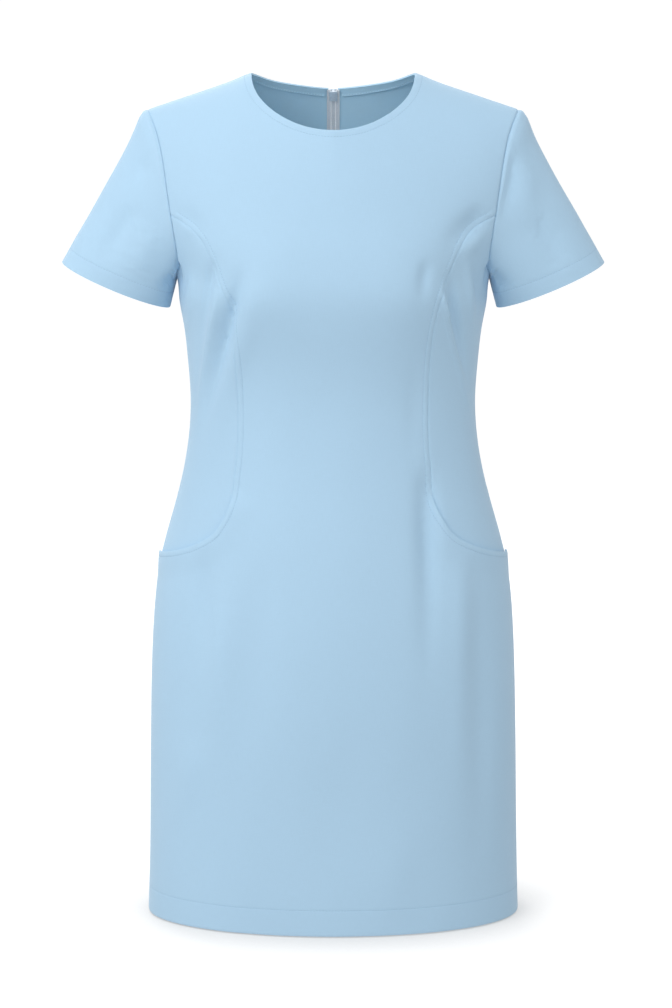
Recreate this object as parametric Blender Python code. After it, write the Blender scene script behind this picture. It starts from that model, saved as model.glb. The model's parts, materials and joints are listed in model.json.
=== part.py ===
"""Light-blue nurse uniform dress: short sleeves, round neck, princess seams, hip pockets, back zip.

The dress is filled out with nobody in it. +X is the right of someone looking at its front, the
front faces -Y, and +Z is up. The origin lies between the two points where the neck meets the
shoulder seams, which is where the wearer's shoulders hold it.

The body of the dress is one form, given by sections across it. Each panel is a wall over its own
stretch of that form, bounded by the seams. Lengths in the tables are in millimetres, and a drop
is a distance below the neck points.
"""

import math
from collections import namedtuple

import bpy
import numpy as np
from mathutils import Matrix, Vector

MM = 0.001

# Driving dimensions
HEM_DROP = 917.0
NECK_HALF_WIDTH = 90.5
FRONT_NECK_DROP = 61.5
BACK_NECK_DROP = 10.7
NECK_POWER = 0.62  # 0.5 would make the front neck half an ellipse
SHOULDER_HALF_WIDTH = 200.5
SHOULDER_DROP = 36.5
SHOULDER_ROLL = 190.0  # how far below the ridge the shoulder rounds into the chest and the back
ROUNDNESS = 0.9  # below 1 the sections are fuller than an ellipse
UNDERARM_DROP = 217.0
PRINCESS_TOP_DROP = 150.0
POCKET_CORNER_DROP = 516.5

# Cloth and seams
WALL = 1.2
HEM_WALL = 2.4  # where the cloth is turned up and doubled
HEM_DEPTH = 28.0
CUFF_DEPTH = 18.0
SEAM_GAP = 0.42
LAYER_GAP = 0.3

# Pockets: the front panel's curved edge stands proud, and the side front runs on under it
POCKET_TOP_DROP = 440.0
POCKET_PROUD = 3.0
POCKET_FADE = 32.0  # how far from its edge the proud cloth comes back to the form
LAP_TOP_DROP = 466.0  # where the side front starts to lap under
LAP_END_DROP = 528.0
LAP_GAP = 0.8
POCKET_OPENING = 0.8  # the further gap under the pocket's edge itself

# Neck band, on the inside
BAND_DEPTH = 8.5
BAND_WALL = 1.0
BAND_GAP = 0.9
NECK_POINT_SPREAD = 0.7  # parts the band's columns that meet at a neck point

# Back zip
ZIP_HALF_GAP = 3.5  # from the centre to the folded edge of a back
ZIP_NOTCH = 1.9  # how much further the edges part at the neck
ZIP_NOTCH_DEPTH = 12.0
ZIP_CLOSE_DROP = 508.0
ZIP_END_DROP = 521.0
TAPE_INNER = 3.0
TAPE_OUTER = 7.4
ZIP_STITCH_X = 8.2  # the backs are sewn to the tapes here, and the neck band ends here
TAPE_WALL = 1.0
CHAIN_HALF_WIDTH = 2.6
CHAIN_OUT = -0.7  # the chain's two faces, measured out from the form
CHAIN_IN = -2.9
CHAIN_END_DROP = 506.0
SLIDER_DROP = 17.2
SLIDER_LENGTH = 12.5
PULL_LENGTH = 23.0
PULL_AXIS_OUT = 2.3  # the pull's axis, out from the form
PULL_THICKNESS = 1.0

Section = namedtuple("Section", "drop half_width front_depth back_depth")
FORM = (
    Section(-35.0, 258.0, 84.0, 88.0),
    Section(0.0, 254.0, 84.0, 91.0),
    Section(36.5, 247.3, 85.0, 95.0),
    Section(80.0, 228.5, 91.0, 101.0),
    Section(124.0, 212.2, 101.0, 106.0),
    Section(167.0, 195.4, 112.0, 109.0),
    Section(187.0, 184.4, 117.0, 110.0),
    Section(205.0, 174.7, 120.0, 110.0),
    Section(217.0, 169.8, 121.5, 109.5),
    Section(240.0, 167.2, 122.0, 108.0),
    Section(266.0, 162.8, 118.0, 104.5),
    Section(305.0, 158.4, 109.5, 100.0),
    Section(350.0, 155.6, 103.5, 98.5),
    Section(385.0, 157.4, 103.5, 101.0),
    Section(435.0, 165.8, 107.5, 108.5),
    Section(477.0, 177.0, 113.0, 116.0),
    Section(530.0, 190.8, 120.0, 124.5),
    Section(584.0, 197.4, 125.5, 129.5),
    Section(650.0, 200.5, 128.5, 130.5),
    Section(745.0, 202.4, 129.0, 129.0),
    Section(840.0, 204.0, 129.5, 128.0),
    Section(930.0, 206.6, 130.5, 128.5),
)

SeamPoint = namedtuple("SeamPoint", "drop half_width")
ARMHOLE = (
    SeamPoint(36.5, 200.5),
    SeamPoint(55.0, 192.2),
    SeamPoint(80.7, 184.8),
    SeamPoint(124.0, 177.6),
    SeamPoint(167.0, 171.2),
    SeamPoint(187.0, 168.3),
    SeamPoint(205.0, 167.6),
    SeamPoint(217.0, 169.8),
)
PRINCESS = (
    SeamPoint(150.0, 173.9),
    SeamPoint(160.0, 156.5),
    SeamPoint(170.4, 144.5),
    SeamPoint(186.0, 134.0),
    SeamPoint(207.7, 124.5),
    SeamPoint(250.0, 110.5),
    SeamPoint(300.0, 102.6),
    SeamPoint(350.0, 101.0),
    SeamPoint(404.0, 102.5),
    SeamPoint(430.0, 105.3),
    SeamPoint(464.5, 112.0),
    SeamPoint(480.5, 120.5),
    SeamPoint(492.6, 131.0),
    SeamPoint(501.4, 145.8),
    SeamPoint(510.2, 167.0),
    SeamPoint(516.5, 187.6),
)
Lap = namedtuple("Lap", "drop share")
LAPS = (  # how far the side front runs in under the last column of the front panel
    Lap(486.0, 0.4),
    Lap(498.0, 0.6),
    Lap(505.0, 0.7),
    Lap(510.0, 0.8),
    Lap(528.0, 0.85),
)

# Rows of points across the panels. Up to the top of the princess seams a row is level; above
# them the rows swing up to the neck and the shoulders.
LEVEL_ROWS = (
    917, 889.3, 888.7, 800, 715, 650, 595, 555, 528, 516.5, 516, 515, 513.6, 512, 510, 505, 498,
    486, 466, 445, 418, 388, 358, 329, 302, 278, 258, 240, 226, 217, 206, 192, 178, 166, 156.5,
    150.4,
)
UPPER_ROWS = (0.0, 0.2, 0.42, 0.64, 0.83)  # shares of the way; then come the band's row and the top
NECK_COLUMNS = (0.0, 0.3, 0.56, 0.78, 0.93)  # shares of the way to the neck point
BACK_NECK_COLUMNS = (0.0, 0.36, 0.7)
SHOULDER_COLUMNS = 4
SIDE_FRONT_COLUMNS = 4

# The largest folds: soft ridges (height above 0) and troughs along lines on the panels
Fold = namedtuple("Fold", "face x drop to_x to_drop width height")
FOLDS = (
    Fold("front", -104, 213, -155, 380, 13, -4.0),
    Fold("front", -92, 225, -146, 400, 14, 3.0),
    Fold("front", -130, 218, -150, 330, 11, 3.0),
    Fold("front", 134, 225, 152, 378, 12, 3.0),
    Fold("front", 97, 430, 95, 690, 15, -3.5),
    Fold("front", 124, 480, 122, 780, 17, 3.5),
    Fold("front", -142, 530, -142, 650, 15, -3.0),
    Fold("front", -120, 560, -119, 770, 17, 3.0),
    Fold("back", -118, 250, -145, 372, 14, -3.5),
    Fold("back", 112, 262, 140, 390, 14, -3.5),
    Fold("back", 100, 570, 108, 830, 18, 3.5),
    Fold("back", -84, 600, -92, 860, 18, 3.0),
)
BUST_ACROSS = 92.0
BUST_DROP = 236.0
BUST_HEIGHT = 8.0
BUST_SPREAD_X = 52.0
BUST_SPREAD_Z = 58.0

# Sleeves
CUFF_OUTER = SeamPoint(200.2, 294.8)
CUFF_INNER = SeamPoint(249.6, 177.6)
CUFF_HALF_DEPTH = 43.0
CUFF_TILT = math.radians(8.0)  # the front of the cuff hangs lower than the back
CAP_RISE = 4.2
CAP_PEAK = 0.055
SLEEVE_RINGS = (0.0, 0.06, 0.22, 0.55, 0.985, 1.0)

# Colours, as linear RGB
CLOTH_BLUE = (0.44, 0.67, 0.86, 1.0)
BAND_BLUE = (0.38, 0.60, 0.78, 1.0)
ZIP_GREY = (0.31, 0.36, 0.42, 1.0)
SLIDER_GREY = (0.36, 0.45, 0.53, 1.0)


class Spline:
    """A smooth curve through the rows of a table, one value against another."""

    def __init__(self, places, values):
        self.x = np.array(places, float)
        self.y = np.array(values, float)
        step = np.diff(self.x)
        count = len(self.x)
        system = np.eye(count)
        right = np.zeros(count)
        for i in range(1, count - 1):
            system[i, i - 1 : i + 2] = step[i - 1], 2 * (step[i - 1] + step[i]), step[i]
            slope_after = (self.y[i + 1] - self.y[i]) / step[i]
            slope_before = (self.y[i] - self.y[i - 1]) / step[i - 1]
            right[i] = 6 * (slope_after - slope_before)
        self.bend = np.linalg.solve(system, right)

    def __call__(self, place):
        i = int(np.clip(np.searchsorted(self.x, place) - 1, 0, len(self.x) - 2))
        step = self.x[i + 1] - self.x[i]
        a = (self.x[i + 1] - place) / step
        b = 1 - a
        curve = (a**3 - a) * self.bend[i] + (b**3 - b) * self.bend[i + 1]
        return float(a * self.y[i] + b * self.y[i + 1] + curve * step * step / 6)


def table_spline(table, value):
    """A Spline of one column of a table against its drops."""
    return Spline([row.drop for row in table], [getattr(row, value) for row in table])


half_width = table_spline(FORM, "half_width")
front_depth = table_spline(FORM, "front_depth")
back_depth = table_spline(FORM, "back_depth")
armhole_x = table_spline(ARMHOLE, "half_width")
princess_x = table_spline(PRINCESS, "half_width")


def blend(a, b, share):
    return a + (b - a) * share


def smooth(share):
    """0 below 0, 1 above 1, and an S curve between."""
    share = min(max(share, 0.0), 1.0)
    return share * share * (3 - 2 * share)


def ridge_drop(x):
    """The drop of the shoulder seam at a distance from the centre, carried on past its ends."""
    slope = SHOULDER_DROP / (SHOULDER_HALF_WIDTH - NECK_HALF_WIDTH)
    return (abs(x) - NECK_HALF_WIDTH) * slope


def shoulder_share(x, drop):
    """How much of its depth the form has near the shoulder: none on the ridge, all well below."""
    below = min(max((drop - ridge_drop(x)) / SHOULDER_ROLL, 0.0), 1.0)
    return (1 - (1 - below) ** 3) ** 0.6


def fold_height(face, x, drop):
    """How far the folds push the cloth out of the form."""
    height = 0.0
    for fold in FOLDS:
        if fold.face != face:
            continue
        along = Vector((fold.to_x - fold.x, fold.to_drop - fold.drop))
        place = Vector((x - fold.x, drop - fold.drop))
        share = place.dot(along) / along.length_squared
        if -0.15 < share < 1.15:
            off = (place - along * share).length / fold.width
            height += fold.height * math.exp(-off * off) * math.sin(math.pi * (share + 0.15) / 1.3)
    return height


def plain_point(face, x, drop):
    """A point of the smooth form, on the face that is named."""
    across = min(abs(x) / half_width(drop), 1.0)
    share = (1 - across * across) ** (ROUNDNESS / 2) * shoulder_share(x, drop)
    if face == "back":
        return Vector((x, back_depth(drop) * share, -drop))
    bust = BUST_HEIGHT * math.exp(
        -(((abs(x) - BUST_ACROSS) / BUST_SPREAD_X) ** 2) - ((drop - BUST_DROP) / BUST_SPREAD_Z) ** 2
    )
    return Vector((x, -front_depth(drop) * share - bust * (1 - across**4), -drop))


def form_at(face, angle, drop):
    """The plain point at an angle round from the centre of a face, which may pass its side."""
    if abs(angle) > math.pi / 2:
        face = "front" if face == "back" else "back"
        angle = math.copysign(math.pi, angle) - angle
    return plain_point(face, half_width(drop) * math.sin(angle), drop)


def outward(face, x, drop):
    """The direction out of the form at a point of it."""
    if drop - ridge_drop(x) < 0.05 and abs(x) >= NECK_HALF_WIDTH - 0.01:
        return Vector((math.copysign(ridge_drop(NECK_HALF_WIDTH + 1), x), 0, 1)).normalized()
    angle = math.asin(max(-1.0, min(1.0, x / half_width(drop))))
    turn, step = 0.01, 0.5
    round_it = form_at(face, angle + turn, drop) - form_at(face, angle - turn, drop)
    if drop - ridge_drop(x) > 2 * step:
        down = form_at(face, angle, drop + step) - form_at(face, angle, drop - step)
    else:
        down = form_at(face, angle, drop + step) - form_at(face, angle, drop)
    normal = round_it.cross(down) if face == "back" else down.cross(round_it)
    return normal.normalized()


def cloth_point(face, x, drop, out=0.0):
    """A point of the cloth with its folds, moved out along the form's own direction."""
    normal = outward(face, x, drop)
    fade = smooth((drop - ridge_drop(x)) / 60)
    return plain_point(face, x, drop) + normal * (out + fade * fold_height(face, x, drop))


def cloth_wall(drop):
    return HEM_WALL if drop > HEM_DROP - HEM_DEPTH else WALL


def inset_edge(grid, edge, inner):
    """Draws one edge of a grid of points in by half a seam's gap, square to the edge."""
    line = [grid[key].copy() for key in edge]
    for i, (key, inside) in enumerate(zip(edge, inner)):
        tangent = (line[min(i + 1, len(line) - 1)] - line[max(i - 1, 0)]).normalized()
        inwards = grid[inside] - grid[key]
        inwards -= tangent * inwards.dot(tangent)
        grid[key] += inwards.normalized() * (SEAM_GAP / 2)


def panel_mesh(name, outer, inner, rows, columns, material, closed=False):
    """A closed wall between two grids of points, in millimetres, keyed by row and column."""
    turns = columns if closed else columns - 1
    place = {}
    points = []
    for side, grid in enumerate((outer, inner)):
        for r in range(rows):
            for c in range(columns):
                place[side, r, c] = len(points)
                points.append(grid[r, c] * MM)
    faces = []
    for r in range(rows - 1):
        for c in range(turns):
            d = (c + 1) % columns
            corners = [(r, c), (r, d), (r + 1, d), (r + 1, c)]
            a, b, e, f = (outer[corner] for corner in corners)
            if (a - e).length > (b - f).length:
                corners = corners[1:] + corners[:1]
            for three in (corners[:3], [corners[0], *corners[2:]]):
                faces.append([place[0, *corner] for corner in three])
                faces.append([place[1, *corner] for corner in reversed(three)])
    for c in range(turns):
        d = (c + 1) % columns
        faces.append([place[0, 0, c], place[1, 0, c], place[1, 0, d], place[0, 0, d]])
        top = rows - 1
        faces.append([place[0, top, c], place[0, top, d], place[1, top, d], place[1, top, c]])
    if not closed:
        last = columns - 1
        for r in range(rows - 1):
            faces.append([place[0, r, 0], place[0, r + 1, 0], place[1, r + 1, 0], place[1, r, 0]])
            faces.append(
                [place[0, r, last], place[1, r, last], place[1, r + 1, last], place[0, r + 1, last]]
            )
    mesh = bpy.data.meshes.new(name)
    mesh.from_pydata(points, [], faces)
    mesh.validate()
    if enclosed_volume(mesh) < 0:
        mesh.flip_normals()
    mesh.materials.append(material)
    thing = bpy.data.objects.new(name, mesh)
    bpy.context.collection.objects.link(thing)
    return thing


def enclosed_volume(mesh):
    mesh.calc_loop_triangles()
    total = 0.0
    for triangle in mesh.loop_triangles:
        a, b, c = (mesh.vertices[i].co for i in triangle.vertices)
        total += a.dot(b.cross(c)) / 6
    return total


def cloth_material(name, colour, roughness, metallic=0.0):
    material = bpy.data.materials.new(name)
    material.use_nodes = True
    shader = material.node_tree.nodes["Principled BSDF"]
    shader.inputs["Base Color"].default_value = colour
    shader.inputs["Roughness"].default_value = roughness
    shader.inputs["Metallic"].default_value = metallic
    material.diffuse_color = colour
    return material


def neck_drop(face, x):
    """The neckline's drop at a distance from the centre."""
    across = min(abs(x) / NECK_HALF_WIDTH, 1.0)
    if face == "front":
        return FRONT_NECK_DROP * (1 - across * across) ** NECK_POWER
    return BACK_NECK_DROP * math.cos(math.pi / 2 * across) ** 2


def top_drop(face, x):
    return neck_drop(face, x) if abs(x) < NECK_HALF_WIDTH else ridge_drop(x)


def front_edge_x(drop):
    """The front panel's edge: the armhole, the princess seam and pocket, then the side seam."""
    if drop <= PRINCESS_TOP_DROP:
        return armhole_x(drop)
    if drop < POCKET_CORNER_DROP:
        return min(princess_x(drop), half_width(drop))
    return half_width(drop)


def back_edge_x(drop):
    return armhole_x(drop) if drop < UNDERARM_DROP else half_width(drop)


def zip_edge_x(drop):
    """How far a back's folded edge lies from the centre: open along the zip, then closed."""
    notch = ZIP_NOTCH * (1 - smooth((drop - BACK_NECK_DROP) / ZIP_NOTCH_DEPTH))
    closing = smooth((drop - ZIP_CLOSE_DROP) / (ZIP_END_DROP - ZIP_CLOSE_DROP))
    return blend(ZIP_HALF_GAP + notch, SEAM_GAP / 2, closing)


def angle_of(x, drop):
    return math.asin(min(1.0, x / half_width(drop)))


def column_shares(neck_columns, start):
    """Shares of the way from a start near the centre to the edge, one of them at the neck point."""
    first = angle_of(start, SHOULDER_DROP)
    reach = angle_of(SHOULDER_HALF_WIDTH, SHOULDER_DROP) - first
    neck = (angle_of(NECK_HALF_WIDTH, SHOULDER_DROP) - first) / reach
    inner = [neck * share for share in neck_columns]
    return inner + [blend(neck, 1.0, i / SHOULDER_COLUMNS) for i in range(SHOULDER_COLUMNS + 1)]


def half_panel_places(face, shares, edge_x, start):
    """Rows of (x, drop) on one half of a face, from its start to its edge, hem upwards."""
    rows = []
    for drop in LEVEL_ROWS:
        inner, outer = angle_of(start, drop), angle_of(edge_x(drop), drop)
        width = half_width(drop)
        rows.append([(width * math.sin(blend(inner, outer, s)), drop) for s in shares])
    tops = []
    for s in shares:
        angle = blend(angle_of(start, SHOULDER_DROP), angle_of(SHOULDER_HALF_WIDTH, SHOULDER_DROP), s)
        tops.append(top_drop(face, half_width(SHOULDER_DROP) * math.sin(angle)))
    last = (PRINCESS_TOP_DROP - SHOULDER_DROP - BAND_DEPTH) / (PRINCESS_TOP_DROP - SHOULDER_DROP)
    for share_up in UPPER_ROWS + (last, 1.0):
        edge_drop = blend(PRINCESS_TOP_DROP, SHOULDER_DROP, share_up)
        inner, outer = angle_of(start, edge_drop), angle_of(edge_x(edge_drop), edge_drop)
        row = []
        for s, top in zip(shares, tops):
            drop = blend(PRINCESS_TOP_DROP, top, share_up)
            if share_up == last:
                drop = top + BAND_DEPTH
            row.append((half_width(edge_drop) * math.sin(blend(inner, outer, s)), drop))
        rows.append(row)
    return rows


def front_places():
    shares = column_shares(NECK_COLUMNS, 0.0)
    right = half_panel_places("front", shares, front_edge_x, 0.0)
    return [[(-x, drop) for x, drop in row[:0:-1]] + row for row in right]


def back_places(sign):
    """A back's rows: its first column is the folded edge, its second the stitching by the zip."""
    shares = column_shares(BACK_NECK_COLUMNS, ZIP_STITCH_X)
    rows = half_panel_places("back", shares, back_edge_x, ZIP_STITCH_X)
    rows = [[(zip_edge_x(row[0][1]), row[0][1])] + row for row in rows]
    return [[(sign * x, drop) for x, drop in row] for row in rows]


POCKET_EDGE = tuple(
    (front_edge_x(drop), drop) for drop in np.linspace(POCKET_TOP_DROP, POCKET_CORNER_DROP, 40)
)


def pocket_proud(x, drop):
    """How far the front panel stands off the form near its pocket edge."""
    if drop < POCKET_TOP_DROP:
        return 0.0
    nearest = min(math.hypot(abs(x) - edge_x, drop - edge_drop) for edge_x, edge_drop in POCKET_EDGE)
    along = smooth((drop - POCKET_TOP_DROP) / (LAP_TOP_DROP - POCKET_TOP_DROP))
    return POCKET_PROUD * along * (1 - smooth(nearest / POCKET_FADE))


def wall_grids(places, face, out_at=None):
    """The outer and inner points of a wall over rows of (x, drop)."""
    outer, inner = {}, {}
    for r, row in enumerate(places):
        for c, (x, drop) in enumerate(row):
            out = out_at(x, drop) if out_at else 0.0
            outer[r, c] = cloth_point(face, x, drop, out)
            inner[r, c] = outer[r, c] - outward(face, x, drop) * cloth_wall(drop)
    return outer, inner


def draw_in_sides(grids, rows, columns, sides):
    """Draws in the first or last column of a wall, or both, by half a seam's gap."""
    for grid in grids:
        for side in sides:
            edge = 0 if side == "first" else columns - 1
            inside = 1 if side == "first" else columns - 2
            inset_edge(grid, [(r, edge) for r in range(rows)], [(r, inside) for r in range(rows)])


def draw_in_shoulders(grids, places, top):
    """Draws the shoulder seam's edge in from the ridge by half the seam's gap."""
    for grid in grids:
        for c, (x, _) in enumerate(places[top]):
            if abs(x) >= NECK_HALF_WIDTH - 0.01:
                away = grid[top - 1, c] - grid[top, c]
                grid[top, c] += Vector((0, math.copysign(SEAM_GAP / 2, away.y), 0))


def build_front(material):
    """Makes the front panel, and gives the points of its inner face."""
    places = front_places()
    rows, columns = len(places), len(places[0])
    grids = wall_grids(places, "front", pocket_proud)
    draw_in_sides(grids, rows, columns, ("first", "last"))
    draw_in_shoulders(grids, places, rows - 1)
    panel_mesh("front_panel", *grids, rows, columns, material)
    return grids[1]


def lap_points(front_inner, row, sign, share, count):
    """Points under the front panel's last column, from a share of its width out to its edge."""
    last = max(column for _, column in front_inner)
    edge, inside = (last, last - 1) if sign > 0 else (0, 1)
    ends = front_inner[row, edge], front_inner[row, inside]
    place = ends[0]
    normal = outward("front", sign * min(abs(place.x), half_width(-place.z) - 0.5), -place.z)
    points = []
    for i in range(count):
        along = blend(share, 0.0, i / (count - 1))
        under = LAP_GAP + POCKET_OPENING * (1 - along / share)
        points.append(ends[0].lerp(ends[1], along) - normal * under)
    return points, normal


def build_side_front(name, sign, front_inner, material):
    """The side front: level with the front panel down its seam, then lapped under its pocket."""
    lap_share = table_spline(LAPS, "share")
    levels = [(row, drop) for row, drop in enumerate(LEVEL_ROWS) if drop <= LAP_END_DROP]
    columns = SIDE_FRONT_COLUMNS + 2
    outer, inner = {}, {}
    for r, (row, drop) in enumerate(levels):
        seam, side = front_edge_x(max(drop, PRINCESS_TOP_DROP + 0.01)), back_edge_x(drop)
        count = 0
        if drop > LAP_TOP_DROP:
            count = columns if side - seam < 1 else 2
            points, normal = lap_points(front_inner, row, sign, lap_share(drop), count)
            for c, point in enumerate(points):
                outer[r, c], inner[r, c] = point, point - normal * WALL
        shares = [0.0, 0.07] + [i / SIDE_FRONT_COLUMNS for i in range(1, SIDE_FRONT_COLUMNS + 1)]
        for c in range(count, columns):
            angle = blend(angle_of(seam, drop), angle_of(side, drop), shares[c])
            x = sign * half_width(drop) * math.sin(angle)
            outer[r, c] = cloth_point("front", x, drop)
            inner[r, c] = outer[r, c] - outward("front", x, drop) * WALL
    rows = len(levels)
    seam_rows = [r for r, (_, drop) in enumerate(levels) if drop <= LAP_TOP_DROP]
    for grid in (outer, inner):
        inset_edge(grid, [(r, 0) for r in seam_rows], [(r, 1) for r in seam_rows])
    draw_in_sides((outer, inner), rows, columns, ("last",))
    return panel_mesh(name, outer, inner, rows, columns, material)


def build_back(name, sign, material):
    places = back_places(sign)
    rows, columns = len(places), len(places[0])
    grids = wall_grids(places, "back")
    draw_in_sides(grids, rows, columns, ("last",))
    draw_in_shoulders(grids, places, rows - 1)
    return panel_mesh(name, *grids, rows, columns, material)


def armhole_ring(sign):
    """The armhole seam, from the shoulder down the front, under the arm and up the back.

    Each entry is the seam's point, the direction out of the form there, and the way on past
    the panels' edge.
    """
    drops = [SHOULDER_DROP, SHOULDER_DROP + BAND_DEPTH]
    drops += [blend(PRINCESS_TOP_DROP, SHOULDER_DROP, s) for s in reversed(UPPER_ROWS)]
    drops += [drop for drop in reversed(LEVEL_ROWS) if drop <= UNDERARM_DROP]
    ring = []
    for face, line in (("front", drops), ("back", drops[-2:0:-1])):
        for drop in line:
            x = sign * armhole_x(drop)
            ring.append((cloth_point(face, x, drop), outward(face, x, drop)))
    count = len(ring)
    entries = []
    for i, (point, normal) in enumerate(ring):
        along = (ring[(i + 1) % count][0] - ring[i - 1][0]).normalized()
        onward = normal.cross(along).normalized()
        middle = Vector((sign * 185, 0, -130))
        if (point + onward - middle).length > (point - middle).length:
            onward = -onward
        entries.append((point, normal, onward))
    return entries, len(drops) - 1


def sleeve_angles(points, bottom):
    """An angle for each point of the ring: 0 on the shoulder, half a turn under the arm."""
    steps = [(points[(i + 1) % len(points)] - p).length for i, p in enumerate(points)]
    down, up = sum(steps[:bottom]), sum(steps[bottom:])
    angles, walked = [], 0.0
    for i in range(len(points)):
        if i <= bottom:
            angles.append(math.pi * walked / down)
        else:
            angles.append(math.pi + math.pi * (walked - down) / up)
        walked += steps[i]
    return angles


def cuff_point(sign, angle):
    outer = Vector((sign * CUFF_OUTER.half_width, 0, -CUFF_OUTER.drop))
    inner = Vector((sign * CUFF_INNER.half_width, 0, -CUFF_INNER.drop))
    long_way = (outer - inner) / 2
    axis = sleeve_axis(sign)
    deep_way = Vector((0, -math.cos(CUFF_TILT), 0)) + axis * math.sin(CUFF_TILT)
    centre = (outer + inner) / 2
    return centre + long_way * math.cos(angle) + deep_way * (CUFF_HALF_DEPTH * math.sin(angle))


def sleeve_axis(sign):
    """The way down the sleeve, square to the line across its cuff."""
    across = CUFF_OUTER.half_width - CUFF_INNER.half_width
    rise = CUFF_INNER.drop - CUFF_OUTER.drop
    return Vector((sign * rise, 0, -across)).normalized()


def build_sleeve(name, sign, material):
    entries, bottom = armhole_ring(sign)
    angles = sleeve_angles([entry[0] for entry in entries], bottom)
    count = len(entries)
    outer, walls = {}, []
    rings = len(SLEEVE_RINGS) + 1
    for c, ((seam, normal, onward), angle) in enumerate(zip(entries, angles)):
        start = seam + (normal + onward) * (SEAM_GAP / math.sqrt(2))
        end = cuff_point(sign, angle)
        hem = max(1 - CUFF_DEPTH / (end - start).length, 0.42)
        rise = CAP_RISE * max(math.cos(angle), 0.0) ** 0.5
        for r in range(rings):
            share = hem * SLEEVE_RINGS[r] if r < rings - 1 else 1.0
            bump = share / CAP_PEAK * math.exp(1 - share / CAP_PEAK)
            lift = Vector((sign * 0.85, 0, 0.5)) * rise * bump
            outer[r, c] = start.lerp(end, share) + lift
    centres = [sum((outer[r, c] for c in range(count)), Vector()) / count for r in range(rings)]
    inner = {}
    for r in range(rings):
        wall = HEM_WALL if r >= rings - 2 else WALL
        for c in range(count):
            round_it = outer[r, (c + 1) % count] - outer[r, (c - 1) % count]
            along = outer[min(r + 1, rings - 1), c] - outer[max(r - 1, 0), c]
            inwards = round_it.cross(along).normalized()
            if inwards.dot(centres[r] - outer[r, c]) < 0:
                inwards = -inwards
            if r == 0:
                onward = entries[c][2]
                inwards -= onward * min(0.0, inwards.dot(onward))
            inner[r, c] = outer[r, c] + inwards * wall
    return panel_mesh(name, outer, inner, rings, count, material, closed=True)


def build_neck_band(material):
    """A strip inside the neck, from one side of the zip round the front to the other.

    It takes the panels' own points at the neck's edge and in the row below, moved in.
    """
    top, low = [], []
    front = front_places()
    for grid_row, line in ((-1, top), (-2, low)):
        places = [(x, d, t) for (x, d), (t, _) in zip(front[grid_row], front[-1])]
        line += [("front", x, d) for x, d, t in places if abs(t) < NECK_HALF_WIDTH + 0.01]
    reach = NECK_HALF_WIDTH + BAND_DEPTH
    for sign in (-1, 1):
        back = back_places(sign)
        kept = [i for i, (t, _) in enumerate(back[-1]) if i and abs(t) < NECK_HALF_WIDTH + 0.01]
        over = [("front", sign * NECK_HALF_WIDTH, 0.0)]
        top_back = over + [("back", *back[-1][i]) for i in reversed(kept)]
        low_back = [("front", sign * reach, ridge_drop(reach))]
        low_back += [("back", *back[-2][i]) for i in reversed(kept)]
        if sign < 0:
            top, low = top_back[::-1] + top, low_back[::-1] + low
        else:
            top, low = top + top_back, low + low_back
    turns = [i for i, (_, x, _) in enumerate(low) if abs(abs(x) - reach) < 0.01]
    outer, inner = {}, {}
    for r, line in enumerate((low, top)):
        for c, (face, x, drop) in enumerate(line):
            point, normal = cloth_point(face, x, drop), outward(face, x, drop)
            if drop < 0.01 and c not in turns:
                point.y += NECK_POINT_SPREAD * (-1 if face == "front" else 1)
            outer[r, c] = point - normal * (WALL + BAND_GAP)
            inner[r, c] = point - normal * (WALL + BAND_GAP + BAND_WALL)
    return panel_mesh("neck_band", outer, inner, 2, len(top), material)


def strip_on_back(name, x_from, x_to, drops, out, into, material):
    """A narrow strip down the back, between two distances out from the form."""
    outer, inner = {}, {}
    for r, drop in enumerate(drops):
        for c, x in enumerate((x_from, x_to)):
            point, normal = plain_point("back", x, drop), outward("back", x, drop)
            outer[r, c] = point + normal * out
            inner[r, c] = point + normal * into
    return panel_mesh(name, outer, inner, len(drops), 2, material)


def slider_frame():
    """The slider's own axes: x across, y down the zip, z out of the cloth; in metres."""
    normal = outward("back", 0.0, SLIDER_DROP)
    across = Vector((1, 0, 0))
    down = normal.cross(across).normalized()
    if down.z > 0:
        down = -down
    frame = Matrix((across, down, normal)).transposed().to_4x4()
    if frame.determinant() < 0:
        frame = Matrix((-across, down, normal)).transposed().to_4x4()
    return Matrix.Translation(plain_point("back", 0.0, SLIDER_DROP) * MM) @ frame


def prism(name, outline, low, high):
    """A block with an outline given by (across, down) points, from low to high out of the cloth."""
    points = [Vector((x, y, z)) * MM for z in (low, high) for x, y in outline]
    count = len(outline)
    faces = [list(range(count - 1, -1, -1)), list(range(count, 2 * count))]
    faces += [[i, (i + 1) % count, (i + 1) % count + count, i + count] for i in range(count)]
    mesh = bpy.data.meshes.new(name)
    mesh.from_pydata(points, [], faces)
    if enclosed_volume(mesh) < 0:
        mesh.flip_normals()
    thing = bpy.data.objects.new(name, mesh)
    bpy.context.collection.objects.link(thing)
    return thing


def rectangle(half, top, bottom):
    return [(-half, top), (half, top), (half, bottom), (-half, bottom)]


def combine(base, others, operation):
    """Joins others to base, or cuts them from it; the others stay as guides."""
    for other in others:
        modifier = base.modifiers.new(other.name, "BOOLEAN")
        modifier.operation = operation
        modifier.object = other
        other.hide_render = True
        other.display_type = "WIRE"


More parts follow.
